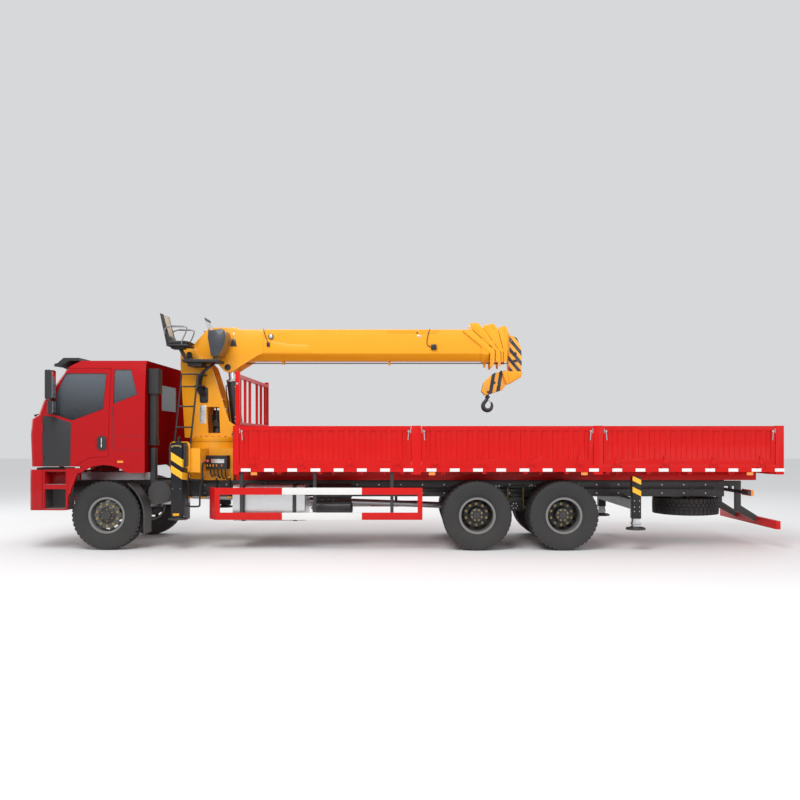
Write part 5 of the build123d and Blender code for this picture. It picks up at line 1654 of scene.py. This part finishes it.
        # The opening's inside is a flat black sheet: painted shade.
        outline = rounded((2.652, 2.792), (2.345, 2.605), 0.03)
        form.prism(outline, (-self.plate - 0.0035, -self.plate + 0.002), 0.001)
        form.index = 0
        form.band(outline, -0.014, (-self.plate - 0.01, -self.plate + 0.002))
        form.index = 3
        form.block((2.655, 2.755), (-self.plate - 0.003, -self.plate + 0.001), (2.0, 2.3), 0.0005)
        place("crane_column", form, (YELLOW_PAINT, BLACK_PAINT, STEEL, ALLOY), "column", "crane_yellow",
              "column")
        hoses = Form()
        for i in range(6):
            out, over = 0.016 * i, 0.013 * (i % 3)
            hoses.pipe((at(2.955 + 0.012 * i, -0.45, 3.04), at(2.93 + over, -0.47 - out / 2, 2.97),
                        at(2.8 + over, -0.47 - out, 2.9 - over), at(2.66 + out, -0.42 - over, 2.78 - out / 2),
                        at(2.61 + out, -0.34 - over, 2.6), at(2.66 + out, -0.3, 2.48 + over),
                        at(2.69 + out, -0.245, 2.44 + over)), 0.0105)
        for i in range(2):
            hoses.pipe((at(2.84 + 0.09 * i, -0.12, 2.03), at(2.84 + 0.09 * i, -0.19, 2.06),
                        at(2.83 + 0.09 * i, -0.2, 2.16), at(2.82 + 0.08 * i, -0.16, 2.28),
                        at(2.82 + 0.08 * i, -0.12, 2.405)), 0.012)
        for z, u in ((2.62, 2.655), (2.8, 2.69)):
            hoses.block((u - 0.05, u + 0.09), (-0.45, -self.plate + 0.002), (z - 0.01, z + 0.01))
        place("column_hoses", hoses, (HOSE,), "column", "black_plastic")

    def boom(self) -> None:
        """Base section: angle indicator, lamp, boxes with cables, doublers, mouth plates and collar bolts."""
        form = Form().node("boom_base", 0.0025)
        (u0, z0), (u1, z1) = self.root_cut
        away = Vector((z0 - z1, 0, u1 - u0)).normalized()
        bmesh.ops.bisect_plane(form.bm, geom=form.bm.verts[:] + form.bm.edges[:] + form.bm.faces[:],
                               plane_co=at(u0, 0, z0), plane_no=away, clear_outer=True)
        ends = [(u + away.x * out, z + away.z * out) for u, z, out in
                ((u0, z0, 0.001), (u1, z1, 0.001), (u1, z1, -0.012), (u0, z0, -0.012))]
        form.prism(ends, (-self.root - 0.0005, self.root + 0.0005), 0.002)
        plates = Form()
        for outline, proud, bevel in ((self.doubler, 0.006, 0.002), (self.patch, 0.0035, 0.001),
                                      (self.mouth, 0.034, 0.004)):
            plates.prism(outline, (self.side - 0.001, self.side + proud), bevel)
        form.join(plates.mirrored())
        face, skin = -self.root, -self.side
        form.index = 1
        for sign in (-1, 1):
            for (u, z), radius in ((self.rod_pin, 0.052), (self.luff_pin, 0.044)):
                form.bar(at(u, (self.root - 0.001) * sign, z), at(u, (self.root + 0.012) * sign, z), radius, 28,
                         0.003)
        form.index = 4
        form.prism(((3.177, 3.42), (3.237, 3.42), (3.262, 3.296), (3.152, 3.296)), (face - 0.004, face + 0.001),
                   0.001)
        form.index = 1
        form.bar(at(3.835, skin + 0.002, 3.461), at(3.835, skin - 0.04, 3.461), 0.043, 24, 0.006)
        form.block((3.765, 3.815), (skin - 0.03, skin + 0.001), (3.295, 3.365), 0.005)
        form.block((6.527, 6.617), (skin - 0.04, skin + 0.001), (3.239, 3.329), 0.006)
        form.bar(at(6.292, skin + 0.001, 3.528), at(6.292, skin - 0.014, 3.528), 0.013, 14, 0.002)
        form.pipe((at(3.7, skin + 0.01, 3.592), at(3.705, skin - 0.01, 3.588),
                   at(3.725, skin - 0.012, 3.52), at(3.76, skin - 0.014, 3.42),
                   at(3.785, skin - 0.012, 3.36)), 0.006)
        form.pipe((at(6.508, skin + 0.01, 3.592), at(6.507, skin - 0.012, 3.586),
                   at(6.47, skin - 0.014, 3.48), at(6.452, skin - 0.014, 3.36),
                   at(6.475, skin - 0.014, 3.3), at(6.53, skin - 0.012, 3.285)), 0.006)
        form.pipe((at(2.62, 0.1, 3.59), at(4.2, 0.1, 3.59), at(5.8, 0.1, 3.59), at(7.16, 0.1, 3.59)), 0.007)
        for i in range(8):
            u = 2.75 + 0.62 * i
            form.block((u - 0.018, u + 0.018), (0.075, 0.125), (self.top - 0.001, 3.5995), 0.003)
        form.index = 2
        form.block((3.198, 3.216), (face - 0.003, face + 0.001), (3.43, 3.525), 0.0005)
        form.block((6.298, 6.352), (skin - 0.0045, skin), (3.455, 3.49), 0.0005)
        form.bar(at(3.835, skin - 0.038, 3.461), at(3.835, skin - 0.0425, 3.461), 0.03, 24, 0.001)
        form.index = 3
        form.bolts([at(3.207, face - 0.004, 3.4)], Vector((0, -1, 0)), 0.01, 0.006)
        for sign in (-1, 1):
            form.bolts([at(7.44, y, 3.609) for y in (-0.15, 0.15)], UP, 0.014)
        place("boom_outer", form, (YELLOW_PAINT, BLACK_PAINT, ALLOY, STEEL, CONSOLE_PAINT),
              "boom", "crane_yellow", "boom_base")

    def section(self, number: int, mouth: float, proud: float) -> None:
        """One inner section with the bolts of its mouth pads and, on some, a crest.

        Args:
            number: the section's number.
            mouth: u of its front end.
            proud: how far its collar stands out.
        """
        name = f"boom_section_{number}"
        form = Form().node(name, 0.002)
        inset = 0.014 + (number - 2) * 0.012
        face, top = 0.2 - inset + proud, self.top - inset + proud
        if number == 2:
            form.prism(((7.41, 3.626), (7.42, 3.668), (7.585, 3.676), (7.598, 3.6), (7.52, 3.6), (7.505, 3.626)),
                       (-0.055, 0.055), 0.004)
        if number == 4:
            form.prism(((7.7, top - 0.004), (7.712, 3.634), (7.775, 3.634), (7.779, top - 0.004)),
                       (-0.05, 0.05), 0.004)
        cheek = Form()
        cheek.prism(self.fans[number - 2], (0.228, 0.236), 0.002)
        cheek.block((mouth - 0.05, mouth - 0.006), (face - 0.002, 0.23), (3.2, 3.44))
        (u0, z0), (u1, z1) = self.fans[number - 2][2:4]
        for share in (0.3, 0.62):
            spot = at(u0 - 0.045 + share * (u1 - u0), 0.236, z0 - 0.035 + share * (z1 - z0))
            cheek.bar(spot, spot + Vector((0, 0.006, 0)), 0.014, 16, 0.002)
        form.join(cheek.mirrored())
        form.index = 1
        form.bolts([at(mouth - 0.042, y, top) for y in (-0.12, 0.12)], UP, 0.011, 0.008)
        place(f"boom_inner_{number}", form, (YELLOW_PAINT, STEEL), name, "crane_yellow", name)

    def tip(self) -> None:
        """Last section: striped head plates, dark sheaves, a lamp and the sheave pins."""
        form = Form().node("boom_section_5", 0.002)
        form.paint(1, lambda p: abs(p.y) > 0.1285 and p.x > 7.83)
        sheaves = ((7.95, 3.18, 0.094), (7.96, 2.85, 0.084))
        for u, z, radius in sheaves:
            form.paint(2, lambda p: abs(p.y) < 0.041 and math.hypot(p.x - u, p.z - z) < radius)
            for sign in (-1, 1):
                form.index = 2
                form.bar(at(u, 0.128 * sign, z), at(u, 0.137 * sign, z), 0.03, 24, 0.003)
                form.index = 3
                form.bolts([at(u, 0.13 * sign, z + 0.045)], Vector((0, sign, 0)), 0.009, 0.007)
        form.index = 2
        form.block((7.918, 7.982), (-0.16, -0.126), (3.045, 3.082), 0.006)
        form.index = 4
        form.block((7.8345, 7.8515), (-0.134, -0.1285), (2.9, 2.98), 0.002)
        form.index = 3
        for sign in (-1, 1):
            form.bolts([at(u, 0.13 * sign, z) for u, z in ((7.88, 3.4), (7.96, 3.36))], Vector((0, sign, 0)), 0.01,
                       0.006)
        form.index = 0
        form.join(Form().prism(self.bracket, (0.128, 0.146)).mirrored())
        place("boom_head", form, (YELLOW_PAINT, STRIPES, IRON, STEEL, RUBY), "boom_section_5", "crane_yellow",
              "boom_section_5")

    def ropes(self) -> None:
        """The rope's taut stretches, one on each section, and its falls to the hook block."""
        for body, u0, u1, radius in self.rope:
            form = Form()
            form.bar(at(u0, 0, self.rope_z), at(u1, 0, self.rope_z), radius, 12)
            if body == "boom_section_5":
                form.pipe((at(7.84, 0, self.rope_z), at(7.89, 0, 2.99), at(7.93, 0, 2.93), at(7.99, 0, 2.935),
                           at(8.045, 0, 2.89), at(8.045, 0, 2.81), at(7.99, 0, 2.765), at(7.93, 0, 2.77),
                           at(7.83, 0, 2.83), at(self.head_pin[0], 0, self.head_pin[1])), 0.0066)
            place(f"rope_{body}", form, (ROPE_WIRE,), body, "hook_steel")
        form = Form()
        form.bar(at(self.head_pin[0], 0, self.head_pin[1]), at(7.655, 0, 2.778), 0.0066, 12)
        place("rope_block_fall", form, (ROPE_WIRE,), "hook_block", "hook_steel")

    def block_and_hook(self) -> None:
        """Hook block with striped cheeks and the forged hook with its latch."""
        form = Form().node("hook_block", 0.002)
        head, block = self.head_pin, self.block_pin
        form.paint(1, lambda p: 0.0655 < abs(p.y) < 0.0672 and math.hypot(p.x - head[0], p.z - head[1]) > 0.02)
        form.paint(2, lambda p: abs(p.y) < 0.0485 and math.hypot(p.x - block[0], p.z - block[1]) < 0.102)
        form.paint(2, lambda p: abs(p.y) < 0.052 and 7.44 < p.x < 7.55 and p.z < 2.572)
        form.index = 2
        for u, z, radius in ((*block, 0.024), (*head, 0.013), (7.497, 2.538, 0.02)):
            form.bar(at(u, -0.076, z), at(u, 0.076, z), radius, 24, 0.002)
        form.index = 3
        for u, z in ((7.66, 2.66), (7.54, 2.74), (7.47, 2.6), (7.73, 2.6)):
            for sign in (-1, 1):
                form.bolts([at(u, 0.066 * sign, z)], Vector((0, sign, 0)), 0.009, 0.006)
        place("block_cheeks", form, (YELLOW_PAINT, BLOCK_STRIPES, IRON, STEEL), "hook_block", "crane_yellow",
              "hook_block")
        form = Form()
        bowl = ((7.493, 2.445, 0.9), (7.487, 2.425, 0.95), (7.468, 2.395, 1.0), (7.432, 2.358, 1.1),
                (7.413, 2.304, 1.2), (7.434, 2.248, 1.25), (7.493, 2.224, 1.2), (7.55, 2.247, 1.05),
                (7.573, 2.302, 0.85), (7.567, 2.345, 0.62), (7.556, 2.374, 0.35))
        form.pipe(tuple(at(u, 0, z) for u, z, _ in bowl), 0.03, 6, tuple(share for _, _, share in bowl))
        form.bar(at(7.493, 0, 2.43), at(7.493, 0, 2.585), 0.026, 24)
        form.lathe(((0.0, -0.015), (0.036, -0.015), (0.044, -0.008), (0.044, 0.01), (0.038, 0.015), (0.0, 0.015)),
                   at(7.493, 0, 2.455), Axis.ALONG_Z, 32)
        form.bar(at(7.493, 0, 2.572), at(7.493, 0, 2.592), 0.04, 6, 0.002)
        form.index = 1
        form.bar(at(7.508, 0, 2.412), at(7.562, 0, 2.35), 0.0055, 10)
        form.bar(at(7.506, -0.02, 2.414), at(7.506, 0.02, 2.414), 0.008, 12)
        place("forged_hook_bowl", form, (IRON, STEEL), "hook", "hook_steel", "hook")

    def lift(self) -> None:
        """Lift cylinder: black barrel with its port, pipe and gland."""
        form = Form().node("lift_barrel", 0.002)
        foot = at(self.barrel_pin[0], 0, self.barrel_pin[1])
        way = (at(self.rod_pin[0], 0, self.rod_pin[1]) - foot).normalized()
        form.index = 1
        form.bar(foot + way * 0.86, foot + way * 0.898, 0.098, 36, 0.004)
        form.index = 0
        side = Vector((-way.z, 0, way.x))
        form.pipe(tuple(foot + side * out + way * up for out, up in
                        ((0.085, 0.16), (0.115, 0.17), (0.118, 0.22), (0.118, 0.5), (0.118, 0.76),
                         (0.115, 0.81), (0.085, 0.82))), 0.009)
        place("lift_barrel_shell", form, (BLACK_PAINT, STEEL), "lift_barrel", "crane_yellow", "lift_barrel")

    def build(self) -> None:
        """Make the whole crane."""
        self.base()
        self.column()
        self.boom()
        for number, mouth, proud in ((2, 7.6, 0.008), (3, 7.69, 0.02), (4, 7.78, 0.032)):
            self.section(number, mouth, proud)
        self.tip()
        self.ropes()
        self.block_and_hook()
        self.lift()


@dataclass
class OperatorStation:
    """Raised seat with its hoops and cushions, the platform and the lever console."""

    sides: tuple = (-0.809, -0.391)
    seat: tuple = (-0.78, -0.42)
    console: tuple = ((2.888, 3.5), (3.107, 3.541), (3.145, 3.515), (3.169, 3.479), (3.18, 3.407),
                      (3.169, 3.313), (3.129, 3.202), (3.056, 3.088), (2.935, 3.09), (2.91, 3.243),
                      (2.884, 3.387))
    console_y: tuple = (-0.65, -0.28)
    lever_y: tuple = (-0.61, -0.515, -0.42, -0.325)

    def frame(self) -> None:
        """Platform, bracket, seat pan, back shell and hoops."""
        form = Form()
        form.block((2.47, 3.06), (-0.66, -0.26), (2.992, 3.038))
        form.block((2.54, 2.77), (-0.6, -0.262), (2.93, 2.994), 0.006)
        for y in (-0.625, -0.575):
            form.prism(((2.505, 3.03), (2.552, 3.03), (2.435, 3.25), (2.38, 3.25)), (y - 0.016, y + 0.016),
                       0.004)
        form.block((2.255, 2.605), (-0.797, -0.403), (3.236, 3.272), 0.01)
        form.block((2.3, 2.5), (-0.7, -0.5), (3.205, 3.24), 0.006)
        form.prism(((2.25, 3.262), (2.285, 3.268), (2.172, 3.762), (2.143, 3.768)), (-0.772, -0.428), 0.01)
        for y in (-0.752, -0.448):
            form.bar(at(2.3, y, 3.275), at(2.178, y, 3.755), 0.026, 16, 0.008, 0.018)
        form.block((2.262, 2.315), (-0.74, -0.46), (3.262, 3.4), 0.012)
        form.index = 1
        for y in self.sides:
            way = 0.025 if y < -0.6 else -0.025
            form.pipe((at(2.235, y + way, 3.43), at(2.222, y, 3.49), at(2.28, y, 3.545), at(2.42, y, 3.552),
                       at(2.56, y, 3.546), at(2.6, y, 3.53), at(2.578, y, 3.45), at(2.528, y, 3.345),
                       at(2.508, y, 3.29), at(2.5, y + way, 3.258)), 0.0105)
            form.bar(at(2.34, y, 3.55), at(2.54, y, 3.547), 0.015, 16, 0.005)
        place("seat_frame", form, (PLASTIC, TUBE), "column", "black_plastic", "operator_station")

    def levers(self) -> None:
        """Console in crane yellow darkened as painted shade, with its slate side, gaiters, levers and knobs."""
        form = Form()
        # The console's body and foot block take the darkened yellow: painted shade.
        form.prism(self.console, self.console_y, 0.012, 3)
        form.block((2.94, 3.04), (-0.56, -0.4), (3.026, 3.108), 0.006)
        form.index = 1
        inner = [(3.03 + (u - 3.03) * 0.96, 3.32 + (z - 3.32) * 0.97) for u, z in self.console]
        face = self.console_y[0] - 0.006
        form.prism(inner, (face, face + 0.008))
        form.bolts([at(u, face, z) for u, z in ((2.93, 3.48), (3.08, 3.5), (3.14, 3.33), (3.03, 3.12), (2.94, 3.25))],
                   Vector((0, -1, 0)), 0.006, 0.004)
        for y in self.lever_y:
            start, end = at(2.905, y, 3.492), at(2.83, y, 3.717)
            way = (end - start).normalized()
            form.bar(start, start + way * 0.04, 0.018, 16, 0.004, 0.01)
            form.bar(end - way * 0.05, end, 0.0105, 14, 0.004)
            form.index = 2
            form.bar(start, end, 0.0065, 12)
            form.index = 1
        place("lever_console", form, (YELLOW_IN_SHADE, CONSOLE_PAINT, STEEL), "column", "crane_yellow")

    def build(self) -> None:
        """Make the station and its two cushions."""
        self.frame()
        self.levers()
        cushion("operator_seat", ((2.275, 2.61), self.seat, (3.262, 3.335)), 0.0, VINYL, "column", "seat")
        cushion("operator_back", ((2.212, 2.262), (-0.725, -0.475), (3.33, 3.755)), -13.2, FABRIC, "column",
                "seat")


# Chassis


@dataclass
class Chassis:
    """Frame, running gear, tanks, underrun guards and the small fittings below the deck."""

    web: float = 0.43
    rail_rows: tuple = (0.845, 0.985)
    bogie: float = 7.905
    rear_leg: float = 9.708
    return_plate: tuple = ((3.158, 1.25), (3.012, 1.02), (3.042, 1.006), (3.17, 1.222))
    strap_u: tuple = (3.56, 4.37)
    air_y: float = -0.8
    air_z: tuple = (0.63, 0.9)

    def frame(self) -> None:
        """Frame with its bolt rows, air lines, banded rear legs and their bolts."""
        form = Form().node("frame", 0.002)
        form.paint(1, lambda p: abs(p.y) > 1.083 and p.x > 9.0)
        side = Form()
        side.index = 2
        for z in self.rail_rows:
            side.bolts([at(0.62 + 0.36 * i, self.web, z) for i in range(30)], OUT, 0.012, 0.007)
        for middle in (self.bogie - 0.355, self.bogie + 0.245):
            side.bolts([at(middle + 0.048 * i, self.web, z) for i in range(3) for z in (0.93, 0.962)],
                       OUT, 0.012, 0.012)
        for z in (0.778, 0.68, 0.613):
            side.bolts([at(self.rear_leg + shift, 1.219, z) for shift in (-0.04, 0.04)], OUT, 0.009,
                       0.006)
        side.index = 3
        for z in (0.915, 0.936):
            side.pipe((at(3.4, self.web + 0.012, z), at(5.0, self.web + 0.014, z), at(6.5, self.web + 0.014, z),
                       at(11.2, self.web + 0.012, z)), 0.01)
        for i in range(12):
            u = 3.55 + 0.66 * i
            side.block((u - 0.012, u + 0.012), (self.web - 0.002, self.web + 0.03), (0.9, 0.95), 0.003)
        form.join(side.mirrored())
        place("chassis_frame", form, (BLACK_PAINT, REAR_LEG, STEEL, HOSE), "chassis", "chassis_black", "frame")

    def gear(self) -> None:
        """Axles and springs with U-bolts, trunnion caps and brake chambers."""
        form = Form().node("running_gear", 0.003)
        side = Form()
        side.index = 1
        for shift in (-0.127, 0.127):
            for out in (0.395, 0.545):
                side.bar(at(self.bogie + shift, out, 0.965), at(self.bogie + shift, out, 0.575), 0.011, 10)
                side.bolts([at(self.bogie + shift, out, 0.575)], UP, 0.019, 0.018)
        side.index = 0
        side.block((self.bogie - 0.16, self.bogie + 0.16), (0.375, 0.565), (0.945, 0.97))
        side.block((self.bogie - 0.16, self.bogie + 0.16), (0.375, 0.565), (0.582, 0.604))
        side.bar(at(self.bogie - 0.015, 0.5, 0.646), at(self.bogie - 0.015, 0.565, 0.646), 0.075, 32, 0.006)
        for u in (7.23, 8.58):
            side.bar(at(u - 0.3, 0.47, 0.7), at(u - 0.14, 0.47, 0.7), 0.082, 28, 0.012)
            side.bar(at(u - 0.14, 0.47, 0.7), at(u - 0.03, 0.47, 0.63), 0.014, 10)
            side.bar(at(u - 0.2, 0.4, 0.62), at(u - 0.02, 0.4, 0.56), 0.024, 12)
        side.index = 2
        for i in range(6):
            turn = math.tau * i / 6
            side.bolts([at(self.bogie - 0.015 + 0.045 * math.cos(turn), 0.565, 0.646 + 0.045 * math.sin(turn))],
                       OUT, 0.01, 0.01)
        form.join(side.mirrored())
        place("axles_and_springs", form, (BLACK_PAINT, BRASS, STEEL), "chassis", "chassis_black", "running_gear")

    def tanks(self) -> None:
        """Alloy fuel tank with black straps and its cap, black air tanks and the silencer."""
        form = Form().node("tanks")
        for u in self.strap_u:
            form.paint(1, lambda p: abs(p.x - u) < 0.0315 and p.y < -0.43)
        form.paint(1, lambda p: p.x > 4.62 and p.y < -0.4)
        form.paint(2, lambda p: p.y > 0.43)
        form.paint(1, lambda p: -0.56 < p.y < -0.43 and p.x < 4.6)
        form.index = 1
        for u in self.strap_u:
            form.block((u - 0.012, u + 0.012), (-1.145, -1.125), (0.7, 0.76))
        form.bar(at(3.86, -0.86, 1.008), at(3.86, -0.86, 1.03), 0.062, 28, 0.004)
        form.bar(at(3.86, -0.86, 1.028), at(3.86, -0.86, 1.052), 0.05, 12, 0.006)
        for z in self.air_z:
            for u in (4.72, 5.15):
                form.lathe(((0.1245, -0.016), (0.1285, -0.016), (0.1285, 0.016), (0.1245, 0.016)),
                           at(u, self.air_y, z), Axis.ALONG_X, 40)
            for u, way in ((4.64, -1), (5.23, 1)):
                form.lathe(((0.0, 0.03 * way), (0.05, 0.027 * way), (0.09, 0.017 * way), (0.124, -0.002 * way),
                            (0.0, -0.002 * way)), at(u, self.air_y, z), Axis.ALONG_X, 40)
        form.index = 3
        for z in self.air_z:
            form.bar(at(4.615, self.air_y, z), at(4.585, self.air_y, z), 0.014, 10)
            form.bar(at(4.95, self.air_y, z - 0.122), at(4.95, self.air_y, z - 0.15), 0.011, 8)
        place("fuel_and_air_tanks", form, (ALLOY, BLACK_PAINT, STEEL, GOLD), "chassis", "tank_silver", "tanks")

    def guards(self) -> None:
        """Side rails in red and white, and the rear bar on its black arms."""
        form = Form().node("underrun_guards", 0.003)
        form.paint(1, lambda p: 11.0 < p.x < 11.865)
        form.paint(1, lambda p: abs(p.y) < 1.2215 and p.x < 7.0
                   and (abs(p.y) < 1.2195 or ((0.6 < p.z < 0.87 or p.z > 0.985) and 3.25 < p.x < 6.28)))
        for sign in (-1, 1):
            form.extruded([at(u, y * sign, 0.483) for u, y in self.return_plate], UP * 0.498)
        form.index = 1
        for sign in (-1, 1):
            for u in (3.56, 4.7, 5.9):
                for z in (0.54, 0.928):
                    form.bolts([at(u, 1.19 * sign, z)], Vector((0, -sign, 0)), 0.011, 0.008)
        place("guard_rails", form, (GUARD_PAINT, BLACK_PAINT), "chassis", "guard_red_white", "underrun_guards")

    def cleaner(self) -> None:
        """Air cleaner."""
        form = Form().node("air_cleaner", 0.002)
        place("intake_cleaner", form, (PLASTIC,), "chassis", "black_plastic", "air_cleaner")

    def build(self) -> None:
        """Make everything below the deck."""
        self.frame()
        self.gear()
        self.tanks()
        self.guards()
        self.cleaner()


# Carried-over nodes

PLAIN = {
    "engine": (STEEL, 0.006), "knuckle_left": (BLACK_PAINT, 0.002), "knuckle_right": (BLACK_PAINT, 0.002),
    "lift_rod": (CHROME, 0.0), "mudguards": (PLASTIC, 0.0),
}


def carry_over() -> None:
    """Give each CAD node listed in PLAIN a merged, softened copy with its finish."""
    slots = {entry["node"]: entry["material_slot"] for entry in frame["record"]["subparts"]}
    for name, node in frame["nodes"].items():
        if name in PLAIN:
            finish, bevel = PLAIN[name]
            place(f"{name}_dressed", Form().node(name, bevel), (finish,), node["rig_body"], slots[name], name)


# Studio


@dataclass
class Studio:
    """Floor, soft light and the camera at the photograph's angle."""

    floor: tuple = (0.88, 0.88, 0.88)
    eye: tuple = (0.305, -13.5, 1.72)
    lens: float = 35.556
    shift: tuple = (-0.02163, 0.05022)

    def lamp(self, name: str, where: tuple, target: tuple, size: float, power: float) -> None:
        """A soft square light aimed at a target.

        Args:
            name: the light's name.
            where: its place.
            target: what it points at.
            size: its width.
            power: its power in watts.
        """
        data = bpy.data.lights.new(name, "AREA")
        data.size, data.energy = size, power
        lamp = bpy.data.objects.new(name, data)
        lamp.location = where
        lamp.rotation_euler = (Vector(target) - Vector(where)).to_track_quat("-Z", "Y").to_euler()
        bpy.context.scene.collection.objects.link(lamp)

    def build(self) -> None:
        """Make floor, lights, sky and camera."""
        part = bmesh.new()
        bmesh.ops.create_grid(part, x_segments=1, y_segments=1, size=60.0)
        mesh = bpy.data.meshes.new("floor")
        part.to_mesh(mesh)
        part.free()
        graph = Graph("pale_floor")
        tone = graph.blend(graph.noise(0.4, 3.0), self.floor, tuple(0.96 * c for c in self.floor))
        mesh.materials.append(graph.close({"Base Color": tone, "Roughness": 0.9}))
        floor = bpy.data.objects.new("floor", mesh)
        bpy.context.scene.collection.objects.link(floor)
        world = bpy.data.worlds.new("studio")
        world.use_nodes = True
        world.node_tree.nodes["Background"].inputs[0].default_value = (0.97, 0.98, 1.0, 1.0)
        world.node_tree.nodes["Background"].inputs[1].default_value = 0.7
        bpy.context.scene.world = world
        self.lamp("key", (-3.0, -10.0, 12.0), (0.0, 0.0, 1.2), 7.0, 1150.0)
        self.lamp("fill", (9.0, -10.0, 6.0), (0.0, 0.0, 1.5), 8.0, 260.0)
        self.lamp("back", (2.0, 11.0, 9.0), (0.0, 0.0, 1.5), 8.0, 380.0)
        self.lamp("front", (-14.0, 2.0, 5.0), (-5.0, 0.0, 1.5), 6.0, 220.0)
        data = bpy.data.cameras.new("camera")
        data.lens, data.sensor_width = self.lens, 36.0
        data.shift_x, data.shift_y = self.shift
        camera = bpy.data.objects.new("camera", data)
        camera.location = self.eye
        camera.rotation_euler = (math.radians(90), 0, 0)
        bpy.context.scene.collection.objects.link(camera)
        bpy.context.scene.camera = camera
        bpy.context.scene.view_settings.view_transform = "Standard"


def main() -> None:
    """Build the sub-assemblies in order."""
    logging.basicConfig(level=logging.INFO, format="%(message)s")
    Studio().build()
    Wheels().build()
    Cab().build()
    CargoBody().build()
    Outriggers().build()
    Crane().build()
    OperatorStation().build()
    Chassis().build()
    carry_over()


if __name__ == "__main__":
    main()
